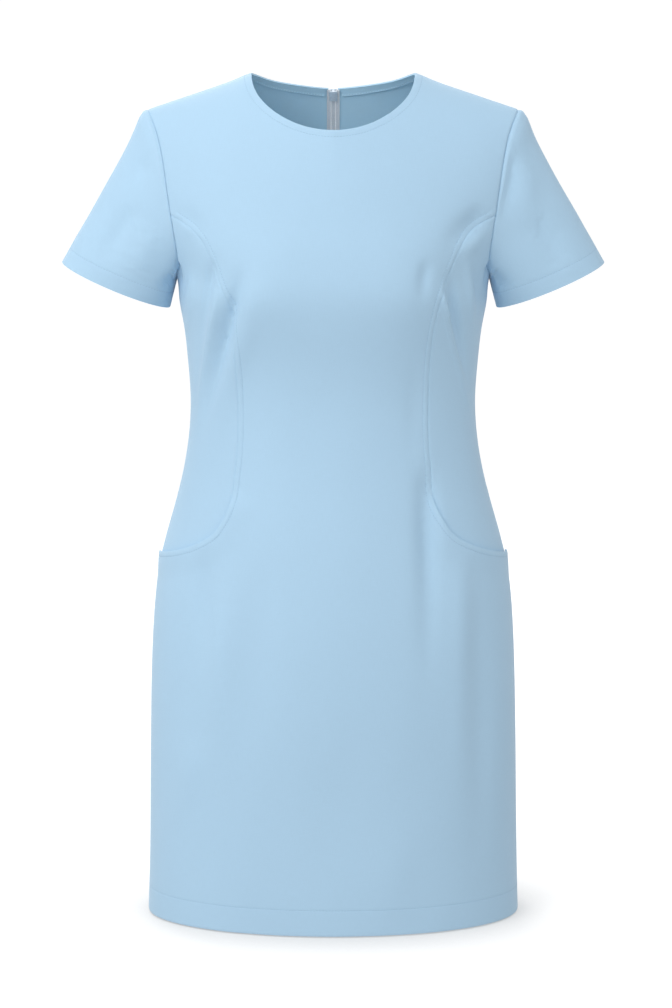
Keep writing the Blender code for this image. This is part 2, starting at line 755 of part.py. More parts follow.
def build_slider(material):
    half = SLIDER_LENGTH / 2
    plate = [(-4.3, -half + 1.5), (-3.2, -half), (3.2, -half), (4.3, -half + 1.5)]
    plate += [(3.7, half), (-3.7, half)]
    slider = prism("zip_slider", plate, 0.45, 1.4)
    parts = [
        prism("slider_under_plate", plate, -4.9, -4.0),
        prism("slider_post", rectangle(1.7, -half + 0.8, half - 1.5), -4.3, 0.8),
        prism("slider_bridge", rectangle(0.9, -4.4, 4.4), 3.2, 4.1),
        prism("slider_bridge_top_foot", rectangle(0.9, -4.4, -3.3), 1.1, 3.5),
        prism("slider_bridge_low_foot", rectangle(0.9, 3.3, 4.4), 1.1, 3.5),
    ]
    combine(slider, parts, "UNION")
    for thing in [slider] + parts:
        thing.matrix_world = slider_frame()
    slider.data.materials.append(material)
    return slider


def build_pull(material):
    """The pull tab: its top bar lies under the slider's bridge and turns there."""
    half = PULL_THICKNESS / 2
    outline = [(-2.6, -half), (2.6, -half), (2.6, 8.0), (2.1, 11.0), (2.4, PULL_LENGTH - 2.0)]
    outline += [(1.2, PULL_LENGTH - 0.4), (-1.2, PULL_LENGTH - 0.4), (-2.4, PULL_LENGTH - 2.0)]
    outline += [(-2.1, 11.0), (-2.6, 8.0)]
    pull = prism("zip_pull", outline, -half, half)
    window = prism("pull_window", rectangle(1.6, half, 6.5), -2.0, 2.0)
    hole = prism("pull_hole", rectangle(0.9, 16.0, 19.5), -2.0, 2.0)
    combine(pull, [window, hole], "DIFFERENCE")
    axis = slider_frame() @ Matrix.Translation((0, 0, PULL_AXIS_OUT * MM))
    for thing in (pull, window, hole):
        thing.matrix_world = axis
    pull.data.materials.append(material)
    return pull


def build_zip():
    grey = cloth_material("zip_tape_grey", ZIP_GREY, 0.7)
    under = -(WALL + LAYER_GAP)
    drops = [row[1][1] for row in back_places(1)]
    tape_drops = [ZIP_END_DROP] + [drop for drop in drops if drop < ZIP_END_DROP - 4]
    for name, sign in (("zip_tape_left", -1), ("zip_tape_right", 1)):
        edges = (sign * TAPE_INNER, sign * TAPE_OUTER)
        strip_on_back(name, *edges, tape_drops, under, under - TAPE_WALL, grey)
    slider_end = Vector((0, SLIDER_LENGTH / 2 + LAYER_GAP, CHAIN_OUT)) * MM
    top = -(slider_frame() @ slider_end).z / MM
    chain_drops = [CHAIN_END_DROP] + [d for d in drops if top + 2 < d < CHAIN_END_DROP - 4] + [top]
    chain = cloth_material("zip_chain_grey", ZIP_GREY, 0.45)
    edges = (-CHAIN_HALF_WIDTH, CHAIN_HALF_WIDTH)
    strip_on_back("zip_chain", *edges, chain_drops, CHAIN_OUT, CHAIN_IN, chain)
    metal = cloth_material("zip_slider_enamel", SLIDER_GREY, 0.4)
    build_slider(metal)
    build_pull(metal)


def main():
    for thing in list(bpy.data.objects):
        bpy.data.objects.remove(thing, do_unlink=True)
    cloth = cloth_material("blue_cloth", CLOTH_BLUE, 0.8)
    front_inner = build_front(cloth)
    for name, sign in (("left", -1), ("right", 1)):
        build_side_front("side_front_" + name, sign, front_inner, cloth)
        build_back("back_" + name, sign, cloth)
        build_sleeve("sleeve_" + name, sign, cloth)
    build_neck_band(cloth_material("neck_band_cloth", BAND_BLUE, 0.8))
    build_zip()


main()
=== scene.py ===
"""Nurse uniform dress: its finished cloth, stitching and zip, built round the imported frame.

The dress is filled out with nobody in it. +X is the right of someone looking at its front, the
front faces -Y and +Z is up. Lengths in the tables are in millimetres, and a drop is a distance
below the neck points. Each panel is cut from the one form that sections give, as the construction
is, and each gets its own folds, pressed seams, turned edges and rows of stitches.

A panel is laid out flat before it is raised. Its flat places are (u, v): u goes round the form
from the centre, and v runs down it, drawn out near the shoulder seam, where the form turns over.
"""

import json
import logging
import math
from collections.abc import Callable
from dataclasses import dataclass, field
from enum import Enum
import bmesh
import bpy
import numpy as np
from mathutils import Matrix, Vector, geometry, kdtree, noise

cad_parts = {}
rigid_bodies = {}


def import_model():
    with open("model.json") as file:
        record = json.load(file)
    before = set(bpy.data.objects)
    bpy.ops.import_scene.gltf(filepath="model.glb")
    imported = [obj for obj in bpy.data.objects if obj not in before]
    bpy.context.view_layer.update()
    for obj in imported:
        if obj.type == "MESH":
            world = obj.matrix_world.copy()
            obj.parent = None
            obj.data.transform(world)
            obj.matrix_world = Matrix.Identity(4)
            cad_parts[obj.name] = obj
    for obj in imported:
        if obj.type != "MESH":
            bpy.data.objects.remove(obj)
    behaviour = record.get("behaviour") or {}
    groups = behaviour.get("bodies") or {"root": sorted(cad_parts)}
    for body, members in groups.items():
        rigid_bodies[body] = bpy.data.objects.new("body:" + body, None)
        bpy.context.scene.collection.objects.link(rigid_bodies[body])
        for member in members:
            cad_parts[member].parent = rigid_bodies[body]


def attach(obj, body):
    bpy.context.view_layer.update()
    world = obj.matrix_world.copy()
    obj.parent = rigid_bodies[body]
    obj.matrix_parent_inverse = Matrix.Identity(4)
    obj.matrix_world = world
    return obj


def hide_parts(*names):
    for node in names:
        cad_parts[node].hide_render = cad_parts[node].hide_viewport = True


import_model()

LOG = logging.getLogger("nurse_dress")
MM = 0.001
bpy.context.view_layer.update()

# The form, as the construction has it
HEM_DROP = 917.0
NECK_HALF_WIDTH = 90.5
FRONT_NECK_DROP = 61.5
BACK_NECK_DROP = 10.7
NECK_POWER = 0.62
BACK_NECK_POWER = 1.45
NECK_LIFT = 2.7
NECK_DRAWN_IN = 2.0
NECK_LIFT_SPREAD = 17.0
SHOULDER_HALF_WIDTH = 200.5
SHOULDER_DROP = 36.5
SHOULDER_ROLL = 190.0  # how far below its ridge the shoulder has its full depth
ROLL_DEPTH = 85.0  # the depth of the form that the roll is laid out flat with
ROLL_REACH = 1400.0  # well past the hem
FORM_TOP_DROP = -35.0
FORM_LOW_DROP = 930.0
ROUNDNESS = 0.9
UNDERARM_DROP = 217.0
PRINCESS_TOP_DROP = 150.0
POCKET_CORNER_DROP = 516.5
SECTIONS = (  # drop, half width, front depth, back depth
    (FORM_TOP_DROP, 258.0, 84.0, 88.0),
    (0.0, 254.0, 84.0, 91.0),
    (36.5, 247.3, 85.0, 95.0),
    (80.0, 228.5, 91.0, 101.0),
    (124.0, 212.2, 101.0, 106.0),
    (167.0, 195.4, 112.0, 109.0),
    (187.0, 184.4, 117.0, 110.0),
    (205.0, 174.7, 120.0, 110.0),
    (217.0, 169.8, 121.5, 109.5),
    (240.0, 167.2, 122.0, 108.0),
    (266.0, 162.8, 118.0, 104.5),
    (305.0, 158.4, 109.5, 100.0),
    (350.0, 155.6, 103.5, 98.5),
    (385.0, 157.4, 103.5, 101.0),
    (435.0, 165.8, 107.5, 108.5),
    (477.0, 177.0, 113.0, 116.0),
    (530.0, 190.8, 120.0, 124.5),
    (584.0, 197.4, 125.5, 129.5),
    (650.0, 200.5, 128.5, 130.5),
    (745.0, 202.4, 129.0, 129.0),
    (840.0, 204.0, 129.5, 128.0),
    (FORM_LOW_DROP, 206.6, 130.5, 128.5),
)
ARMHOLE = (  # drop, half width
    (SHOULDER_DROP, SHOULDER_HALF_WIDTH),
    (55.0, 192.2),
    (80.7, 184.8),
    (124.0, 177.6),
    (167.0, 171.2),
    (187.0, 168.3),
    (205.0, 167.6),
    (UNDERARM_DROP, 169.8),
)
PRINCESS = (  # drop, half width
    (PRINCESS_TOP_DROP, 173.9),
    (160.0, 156.5),
    (170.4, 144.5),
    (186.0, 134.0),
    (207.7, 124.5),
    (250.0, 110.5),
    (300.0, 102.6),
    (350.0, 101.0),
    (404.0, 102.5),
    (430.0, 105.3),
    (464.5, 112.0),
    (480.5, 120.5),
    (492.6, 131.0),
    (501.4, 145.8),
    (510.2, 167.0),
    (POCKET_CORNER_DROP, 187.6),
)
BUST_ACROSS = 92.0
BUST_DROP = 236.0
BUST_HEIGHT = 8.0
BUST_SPREAD_X = 52.0
BUST_SPREAD_Z = 58.0

# Cloth and seams
WALL = 1.2
HEM_WALL = 2.4
HEM_DEPTH = 28.0
CUFF_DEPTH = 18.0
SEAM_DIP = 0.55
ARMHOLE_DIP = 1.15
ALLOWANCE_RISE = 0.28  # of the topstitched seam allowance beside a princess seam
SEAM_DIP_WIDTH = 1.1
TOPSTITCH_IN = 6.0  # from a seam or pocket edge to its row of stitches
NECK_STITCH_IN = 7.5
STITCH_STEP = 0.8  # between the points that the thread follows
STITCH_GROOVE = 0.18
STITCH_GROOVE_WIDTH = 0.6
SEAM_PUCKER = 0.16
SEAM_PUCKER_SIZE = 7.0
SEAM_PUCKER_SEED = 9.2
STITCH_PUCKER = 0.14
STITCH_PUCKER_SIZE = 6.0
STITCH_PUCKER_SEED = 5.7
PUCKER_WIDTH = 3.0
FREE_EDGE_TURN = 0.25  # how far a free edge rounds over
FREE_EDGE_WIDTH = 0.8
FOLD_SETTLE = 60.0  # below the shoulder's ridge, folds take this long to reach their height
WAVE_HEIGHT = 0.55  # of the slight waves all over the cloth
WAVE_SIZE = 46.0
WAVE_STRETCH = (1.0, 1.0, 0.45)
WAVE_SEED = 3.1
WAVE_SETTLE = 90.0
ZIP_HALF_GAP = 3.5
ZIP_NOTCH = 1.9
ZIP_NOTCH_DEPTH = 12.0
ZIP_CLOSE_DROP = 508.0
ZIP_END_DROP = 521.0
ZIP_STITCH_X = 8.2
TAPE_INNER = 3.0
TAPE_OUTER = 7.4
TAPE_WALL = 1.0
TAPE_OUT = -(WALL + 0.3)
TAPE_RIM = 0.2
BAND_DEPTH = 10.0
BAND_WALL = 0.8
BAND_GAP = 0.15
SLIDER_DROP = 17.2

# Pockets
POCKET_TOP_DROP = 440.0
POCKET_PROUD = 3.0
POCKET_FADE = 32.0
POCKET_TURN = 0.8  # what the turned pocket edge adds to the wall
LAP_TOP_DROP = 466.0
LAP_UNDER = 20.0  # how far the side front runs on under the pocket's edge

# Mesh sizes
CELL = 4.6
SEAM_STEP = 3.0
SEAM_GUIDES = (0.7, 1.6, 3.2)  # how far inside a seam the mesh has lines beside it
ROW_GUIDES = (0.7, 1.8)  # and on both sides of a row of stitches
CLEAR_OF_OUTLINE = 0.45
CLEAR_OF_LINES = 0.55  # of a cell
FLAT_RADIUS = 160.0  # turns an angle round the form into a flat distance


class Face(Enum):
    """The two faces of the form."""

    FRONT = -1
    BACK = 1


class Spline:
    """A smooth curve through the rows of a table, one value against another."""

    def __init__(self, places: list[float], values: list[float]) -> None:
        """Works out the bend of the curve at each row.

        Args:
            places: The rows' places, rising.
            values: The value at each place.
        """
        self.x = np.array(places, float)
        self.y = np.array(values, float)
        step = np.diff(self.x)
        count = len(self.x)
        system = np.eye(count)
        right = np.zeros(count)
        for i in range(1, count - 1):
            system[i, i - 1 : i + 2] = step[i - 1], 2 * (step[i - 1] + step[i]), step[i]
            slopes = (self.y[i + 1] - self.y[i]) / step[i] - (self.y[i] - self.y[i - 1]) / step[i - 1]
            right[i] = 6 * slopes
        self.bend = np.linalg.solve(system, right)

    def __call__(self, place: np.ndarray | float) -> np.ndarray:
        """The values of the curve at these places.

        Args:
            place: Where to read the curve.

        Returns:
            The value at each place.
        """
        place = np.asarray(place, float)
        i = np.clip(np.searchsorted(self.x, place) - 1, 0, len(self.x) - 2)
        step = self.x[i + 1] - self.x[i]
        a = (self.x[i + 1] - place) / step
        b = 1 - a
        curve = (a**3 - a) * self.bend[i] + (b**3 - b) * self.bend[i + 1]
        return a * self.y[i] + b * self.y[i + 1] + curve * step * step / 6


def column_spline(table: tuple, column: int) -> Spline:
    """A Spline of one column of a table against its first column."""
    return Spline([row[0] for row in table], [row[column] for row in table])


def smooth(share: np.ndarray | float) -> np.ndarray:
    """0 below 0, 1 above 1, and an S curve between."""
    share = np.clip(share, 0.0, 1.0)
    return share * share * (3 - 2 * share)


def unit(vectors: np.ndarray) -> np.ndarray:
    """Each row of vectors, made one long."""
    return vectors / np.maximum(np.linalg.norm(vectors, axis=-1, keepdims=True), 1e-12)


half_width = column_spline(SECTIONS, 1)
front_depth = column_spline(SECTIONS, 2)
back_depth = column_spline(SECTIONS, 3)
armhole_x = column_spline(ARMHOLE, 1)
princess_x = column_spline(PRINCESS, 1)


def angle_of(x: np.ndarray, drop: np.ndarray) -> np.ndarray:
    """The angles round the form of places given by their distance across and drop."""
    return np.arcsin(np.clip(x / half_width(drop), -1, 1))


def pocket_edge_x(drop: np.ndarray) -> np.ndarray:
    """How far across the princess seam and the pocket edge lie, at most at the side seam."""
    return np.minimum(princess_x(drop), half_width(drop))


def ridge_drop(x: np.ndarray) -> np.ndarray:
    """The drop of the shoulder seam at a distance from the centre, carried on past its ends."""
    slope = SHOULDER_DROP / (SHOULDER_HALF_WIDTH - NECK_HALF_WIDTH)
    return (np.abs(x) - NECK_HALF_WIDTH) * slope


def roll_share(below_ridge: np.ndarray) -> np.ndarray:
    """How much of its depth the form has at a distance below the shoulder's ridge."""
    below = np.clip(below_ridge / SHOULDER_ROLL, 0.0, 1.0)
    return (1 - (1 - below) ** 3) ** 0.6


def form_points(face: Face, angle: np.ndarray, drop: np.ndarray) -> np.ndarray:
    """Points of the smooth form, in millimetres.

    Args:
        face: The face that the angles are counted on.
        angle: Angles round from the centre of that face, which may pass its side.
        drop: Drops below the neck points.

    Returns:
        A row of (x, y, z) for each place.
    """
    width = half_width(drop)
    x = width * np.sin(angle)
    facing = np.cos(angle)
    share = np.abs(facing) ** ROUNDNESS * roll_share(drop - ridge_drop(x))
    across = np.clip(np.abs(x) / width, 0, 1)
    bust = BUST_HEIGHT * np.exp(
        -(((np.abs(x) - BUST_ACROSS) / BUST_SPREAD_X) ** 2) - ((drop - BUST_DROP) / BUST_SPREAD_Z) ** 2
    )
    on_front = (facing >= 0) == (face is Face.FRONT)
    forward = -front_depth(drop) * share - bust * (1 - across**4)
    y = np.where(on_front, forward, back_depth(drop) * share)
    return np.stack([x, y, -drop + 0 * x], axis=-1)


def form_normals(face: Face, angle: np.ndarray, drop: np.ndarray) -> np.ndarray:
    """The direction out of the form at these places, one row each.

    Args:
        face: The face that the angles are counted on.
        angle: Angles round from the centre of that face.
        drop: Drops below the neck points.

    Returns:
        A row of length one for each place.
    """
    turn, step = 0.01, 0.5
    below = drop - ridge_drop(half_width(drop) * np.sin(angle))
    up = np.clip(below * 0.9, 0.02, step)
    level = np.maximum(drop, drop - below + 0.05)
    round_it = form_points(face, angle + turn, level) - form_points(face, angle - turn, level)
    down = form_points(face, angle, level + step) - form_points(face, angle, level - up)
    normal = np.cross(down, round_it) if face is Face.FRONT else np.cross(round_it, down)
    return unit(normal)


ROLL_STEPS = np.concatenate([np.linspace(0, 1, 200) ** 3 * SHOULDER_ROLL, [ROLL_REACH]])
ROLL_RISES = np.diff(roll_share(ROLL_STEPS)) * ROLL_DEPTH
ROLL_LENGTHS = np.concatenate([[0.0], np.cumsum(np.hypot(np.diff(ROLL_STEPS), ROLL_RISES))])


def flat_of(x: np.ndarray, drop: np.ndarray) -> np.ndarray:
    """The flat places (u, v) of places given by their distance across and drop.

    Args:
        x: Distances from the centre, below 0 on the left.
        drop: Drops below the neck points.

    Returns:
        A row of (u, v) for each place.
    """
    x, drop = np.broadcast_arrays(np.asarray(x, float), np.asarray(drop, float))
    ridge = ridge_drop(x)
    down = np.interp(drop - ridge, ROLL_STEPS, ROLL_LENGTHS) + ridge
    return np.stack([angle_of(x, drop) * FLAT_RADIUS, down], axis=-1)


def raise_flat(flat: np.ndarray) -> tuple[np.ndarray, np.ndarray]:
    """The angles and drops of flat places.

    Args:
        flat: A row of (u, v) for each place.

    Returns:
        The angles round the form, and the drops below the neck points.
    """
    angle = flat[:, 0] / FLAT_RADIUS
    drop = flat[:, 1] - ROLL_LENGTHS[-2] + SHOULDER_ROLL
    for _ in range(12):
        ridge = ridge_drop(half_width(np.clip(drop, FORM_TOP_DROP, FORM_LOW_DROP)) * np.sin(angle))
        drop = ridge + np.interp(flat[:, 1] - ridge, ROLL_LENGTHS, ROLL_STEPS)
    return angle, drop


def raised(face: Face, flat: np.ndarray) -> np.ndarray:
    """The points of the form at flat places."""
    return form_points(face, *raise_flat(flat))


def pocket_line(drop: np.ndarray) -> np.ndarray:
    """The points of the form along the right princess seam and pocket edge, at these drops."""
    return form_points(Face.FRONT, angle_of(pocket_edge_x(drop), drop), drop)


def on_right(points: np.ndarray) -> np.ndarray:
    """The same points, with those on the left brought over to the right."""
    return points * np.where(points[:, :1] < 0, (-1.0, 1.0, 1.0), (1.0, 1.0, 1.0))


def lengths_along(points: np.ndarray) -> np.ndarray:
    """How far each point of a line is along it."""
    return np.concatenate([[0.0], np.cumsum(np.linalg.norm(np.diff(points, axis=0), axis=1))])


@dataclass(frozen=True)
class Fold:
    """A soft ridge or trough in the cloth, along a line of places.

    Attributes:
        face: The face that it lies on.
        places: (x, drop) of two or more places along it.
        width: How far to each side it spreads.
        height: Its height, below 0 for a trough.
        peak: Where along its length it is highest, as a share.
    """

    face: Face
    places: tuple
    width: float
    height: float
    peak: float = 0.4

    def line(self, count: int) -> tuple[np.ndarray, np.ndarray]:
        """The distances across and the drops of places along it, as many as count.

        Args:
            count: How many places, evenly spread.

        Returns:
            The distances across, and the drops.
        """
        knots = list(np.linspace(0, 1, len(self.places)))
        x, drop = (Spline(knots, [place[i] for place in self.places]) for i in (0, 1))
        return x(np.linspace(0, 1, count)), drop(np.linspace(0, 1, count))

    def heights(self, points: np.ndarray) -> np.ndarray:
        """How far this fold moves the cloth out at each point of the form.

        Args:
            points: Points of the form.

        Returns:
            The distance out at each point.
        """
        shares = np.linspace(0, 1, 48)
        x, drop = self.line(len(shares))
        line = form_points(self.face, angle_of(x, drop), drop)
        reach = 3.2 * self.width
        near = np.all((points > line.min(0) - reach) & (points < line.max(0) + reach), axis=1)
        out = np.zeros(len(points))
        if not near.any():
            return out
        gap = np.linalg.norm(points[near][:, None] - line[None], axis=2)
        nearest = gap.argmin(1)
        along = shares[nearest]
        rise = smooth(along / max(self.peak, 0.05)) * smooth((1 - along) / (1 - self.peak))
        off = gap[np.arange(len(gap)), nearest] / self.width
        out[near] = self.height * rise * np.exp(-off * off)
        return out


FRONT, BACK = Face.FRONT, Face.BACK
FRONT_FOLDS = (  # places, width, height, peak
    # from the side of the bust down to the waist, left
    (((-147, 205), (-153, 240), (-156.7, 290)), 9, 3.2),
    (((-127, 192), (-133, 228), (-145, 296)), 6, -4.4),
    (((-117, 212), (-126, 255), (-139, 318), (-150, 385)), 5, 4.2, 0.4),
    (((-93, 196), (-108, 250), (-126, 322), (-147, 412)), 8.5, -8.8, 0.38),
    (((-79, 204), (-92, 270), (-115, 340), (-142, 440)), 13, 3.2, 0.45),
    # short pulls from the left armhole to the bust
    (((-166, 140), (-146, 158), (-126, 176)), 8, -1.6),
    (((-164, 158), (-142, 176)), 6, 1.1),
    (((-112, 236), (-104, 250)), 3.2, -0.7),
    # right side of the bust and waist
    (((114, 224), (121, 256), (137, 320), (154, 386)), 3.8, 4.0, 0.3),
    (((122, 200), (131, 262), (146, 340)), 8, -7.6, 0.4),
    (((139, 190), (146, 235), (151, 280)), 6, 4.2),
    (((167, 143), (146, 161), (110, 188)), 12, -5.8, 0.45),
    (((162, 170), (146, 184), (134, 200)), 8, 2.2),
    (((100, 192), (95, 220), (93, 250)), 7, -3.2),
    (((169, 196), (165, 212), (161, 230)), 5, -4.5),
    (((-168, 196), (-165, 212), (-162, 230)), 5, -4.0),
    (((84, 290), (86, 360), (84, 420)), 9, -1.0),
    # skirt front
    (((99, 404), (101, 520), (102, 700)), 12, -7.6, 0.3),
    (((134, 490), (137, 600), (135, 790)), 15, 3.8, 0.4),
    (((156, 505), (159, 690), (160, 905)), 18, -3.4, 0.5),
    (((-139, 500), (-140, 565), (-138, 650)), 13, -3.4),
    (((-117, 520), (-118, 640), (-118, 780)), 17, 4.0),
    (((-74, 480), (-75, 600), (-74, 750)), 16, -1.7),
    (((-148, 700), (-158, 760), (-180, 830)), 16, 2.2),
    (((20, 660), (12, 790), (16, 900)), 34, -1.6),
    (((60, 780), (66, 860), (72, 914)), 22, 1.6),
)
BACK_FOLDS = (  # places, width, height, peak
    (((-112, 238), (-126, 300), (-147, 388)), 12, -4.4, 0.35),
    (((-92, 246), (-112, 316), (-136, 402)), 13, 3.2),
    (((116, 246), (128, 300), (146, 372)), 11, -4.0, 0.4),
    (((136, 230), (147, 284), (154, 330)), 9, 2.4),
    (((-30, 318), (-52, 338), (-84, 344)), 11, 2.0),
    (((26, 336), (56, 352), (92, 352)), 10, 2.2),
    (((-22, 352), (-50, 366), (-88, 370)), 9, -2.0),
    (((24, 366), (48, 380), (80, 384)), 9, -1.7),
    (((-150, 130), (-128, 160), (-112, 200)), 12, -2.6),
    (((152, 138), (134, 166), (120, 212)), 12, -2.9),
    (((92, 480), (98, 640), (106, 840)), 20, 4.2),
    (((-88, 500), (-86, 680), (-94, 880)), 20, 3.8),
    (((-128, 520), (-130, 660), (-126, 800)), 16, -3.0),
    (((134, 500), (138, 640), (136, 760)), 15, -2.8),
    (((34, 560), (40, 720), (36, 900)), 22, -2.6),
    (((-36, 590), (-42, 740), (-40, 870)), 24, -2.2),
)
FOLDS = tuple(Fold(FRONT, *row) for row in FRONT_FOLDS) + tuple(Fold(BACK, *row) for row in BACK_FOLDS)
DART_X = 76.0
DART_TOP_DROP = 262.0
DART_LOW_DROP = 452.0
DART_LINES = tuple(
    Fold(
        BACK,
        ((sign * 82, DART_TOP_DROP), (sign * DART_X, 350), (sign * 79, DART_LOW_DROP)),
        width=1.7,
        height=-1.1,
        peak=0.5,
    )
    for sign in (-1, 1)
)


def zip_edge_x(drop: np.ndarray) -> np.ndarray:
    """How far a back's folded edge lies from the centre: open along the zip, then closed.

    Args:
        drop: Drops below the neck points.

    Returns:
        The distance across at each drop.
    """
    notch = ZIP_NOTCH * (1 - smooth((drop - BACK_NECK_DROP) / ZIP_NOTCH_DEPTH))
    closing = smooth((drop - ZIP_CLOSE_DROP) / (ZIP_END_DROP - ZIP_CLOSE_DROP))
    return (ZIP_HALF_GAP + notch) * (1 - closing)


def neck_drop(face: Face, x: np.ndarray) -> np.ndarray:
    """The neckline's drop at a distance from the centre.

    Args:
        face: The face of the form that it lies on.
        x: Distances from the centre.

    Returns:
        The drop at each distance.
    """
    across = np.clip(np.abs(x) / NECK_HALF_WIDTH, 0, 1)
    if face is Face.FRONT:
        return FRONT_NECK_DROP * (1 - across * across) ** NECK_POWER
    return BACK_NECK_DROP * (1 - across**BACK_NECK_POWER)


def even_line(flat: np.ndarray, face: Face, step: float) -> np.ndarray:
    """The same flat line with its places a step apart on the form.

    Args:
        flat: Places along the line, close together.
        face: The face of the form that it lies on.
        step: The distance between the new places, in millimetres.

    Returns:
        The new flat places, with the line's own ends.
    """
    walked = lengths_along(raised(face, flat))
    count = max(int(round(walked[-1] / step)), 1)
    goal = np.linspace(0, walked[-1], count + 1)
    return np.stack([np.interp(goal, walked, flat[:, i]) for i in (0, 1)], axis=1)


def spaced_drops(low: float, high: float) -> np.ndarray:
    """Many drops from one to another, closest together at the first."""
    return low + (high - low) * np.linspace(0, 1, 1200) ** 1.6


def seam_line(
    face: Face, edge: Callable[[np.ndarray], np.ndarray], low: float, high: float
) -> np.ndarray:
    """The flat places of a seam that is given by its distance across at each drop.

    Args:
        face: The face of the form that it lies on.
        edge: Gives its distance across at each drop.
        low: The drop where it starts.
        high: The drop where it ends.

    Returns:
        Its flat places, evenly spaced on the form.
    """
    drop = spaced_drops(low, high)
    return even_line(flat_of(edge(drop), drop), face, SEAM_STEP)


def draw_in(flat: np.ndarray, face: Face, distance: float, side: int) -> np.ndarray:
    """A flat line moved over by a distance on the form.

    Args:
        flat: The line's flat places.
        face: The face of the form that it lies on.
        distance: How far to move it, in millimetres.
        side: 1 to move it to the left of its own direction in the flat, -1 to the right.

    Returns:
        The moved flat places.
    """
    small = 0.2
    du, dv = (
        (raised(face, flat + move) - raised(face, flat - move)) / (2 * small)
        for move in ((small, 0), (0, small))
    )
    step = np.gradient(flat, axis=0)
    tangent = unit(step[:, :1] * du + step[:, 1:] * dv)
    guess = np.stack([-step[:, 1], step[:, 0]], axis=1) * side
    across = guess[:, :1] * du + guess[:, 1:] * dv
    across = unit(across - tangent * np.sum(across * tangent, axis=1, keepdims=True)) * distance
    uu, uv, vv = (np.sum(a * b, axis=1) for a, b in ((du, du), (du, dv), (dv, dv)))
    au, av = np.sum(across * du, axis=1), np.sum(across * dv, axis=1)
    size = uu * vv - uv * uv
    return flat + np.stack([(au * vv - av * uv) / size, (av * uu - au * uv) / size], axis=1)


def inside(flat: np.ndarray, outline: np.ndarray) -> np.ndarray:
    """Which flat places lie inside a closed outline.

    Args:
        flat: The flat places.
        outline: The outline's flat places, in turn.

    Returns:
        Whether each place is inside.
    """
    result = np.zeros(len(flat), bool)
    after = np.roll(outline, -1, axis=0)
    for (u0, v0), (u1, v1) in zip(outline, after):
        if v0 != v1:
            crosses = (flat[:, 1] < v0) != (flat[:, 1] < v1)
            result ^= crosses & (flat[:, 0] < u0 + (flat[:, 1] - v0) * (u1 - u0) / (v1 - v0))
    return result


def tree_of(points: np.ndarray) -> kdtree.KDTree:
    """A search tree of points, flat or raised.

    Args:
        points: The points.

    Returns:
        The tree, ready to search.
    """
    tree = kdtree.KDTree(len(points))
    for i, point in enumerate(points):
        tree.insert((*point, 0.0)[:3], i)
    tree.balance()
    return tree


def distances(points: np.ndarray, line: np.ndarray) -> np.ndarray:
    """How far each point is from a line of points, which may be far apart.

    Args:
        points: The points.
        line: The line's points, in turn.

    Returns:
        The distance of each point.
    """
    steps = [line[:-1] + (line[1:] - line[:-1]) * share for share in np.linspace(0, 1, 6)[:-1]]
    tree = tree_of(np.concatenate(steps + [line[-1:]]))
    return np.array([tree.find((*point, 0.0)[:3])[2] for point in points])


def smooth_noise(points: np.ndarray, size: float, seed: float) -> np.ndarray:
    """Even noise from -1 to 1 with lumps of a size, in millimetres."""
    shift = Vector((seed, 2.7 * seed, -1.3 * seed))
    return np.array([noise.noise(Vector(point) / size + shift) for point in points])


def settle_neck(points: np.ndarray) -> np.ndarray:
    """Draws the cloth up and in a little at the neck points, where the seam stiffens it.

    Args:
        points: Points of the form.

    Returns:
        The moved points.
    """
    across, drop = np.abs(points[..., 0]) - NECK_HALF_WIDTH, -points[..., 2]
    share = np.exp(-((across / NECK_LIFT_SPREAD) ** 2) - (drop / NECK_LIFT_SPREAD) ** 2)
    move = np.stack([-np.sign(points[..., 0]) * NECK_DRAWN_IN, 0 * drop, 0 * drop + NECK_LIFT], axis=-1)
    return points + move * share[..., None]


POCKET_EDGE_DROPS = np.linspace(POCKET_TOP_DROP, POCKET_CORNER_DROP, 60)


def pocket_proud(points: np.ndarray) -> np.ndarray:
    """How far the front panel stands off the form near its pocket edges.

    Args:
        points: Points of the form.

    Returns:
        The distance out at each point.
    """
    along = smooth((-points[:, 2] - POCKET_TOP_DROP) / (LAP_TOP_DROP - POCKET_TOP_DROP))
    near = along > 0
    out = np.zeros(len(points))
    if near.any():
        away = distances(on_right(points[near]), pocket_line(POCKET_EDGE_DROPS))
        out[near] = POCKET_PROUD * along[near] * (1 - smooth(away / POCKET_FADE))
    return out


def cloth_out(face: Face, plain: np.ndarray, folds: tuple = FOLDS) -> np.ndarray:
    """How far folds and the cloth's slight waves stand off the form.

    Args:
        face: The face of the form that the points lie on.
        plain: Points of the form.
        folds: The folds to count.

    Returns:
        The distance out at each point.
    """
    below = -plain[:, 2] - ridge_drop(plain[:, 0])
    height = sum(fold.heights(plain) for fold in folds if fold.face is face)
    waves = WAVE_HEIGHT * smooth_noise(plain * WAVE_STRETCH, WAVE_SIZE, WAVE_SEED)
    return height * smooth(below / FOLD_SETTLE) + waves * smooth(below / WAVE_SETTLE)


@dataclass
class Row:
    """A row of stitches or a pressed line that runs on a panel.

    Attributes:
        flat: Its flat places.
        stitched: Whether thread shows along it.
    """

    flat: np.ndarray
    stitched: bool = True


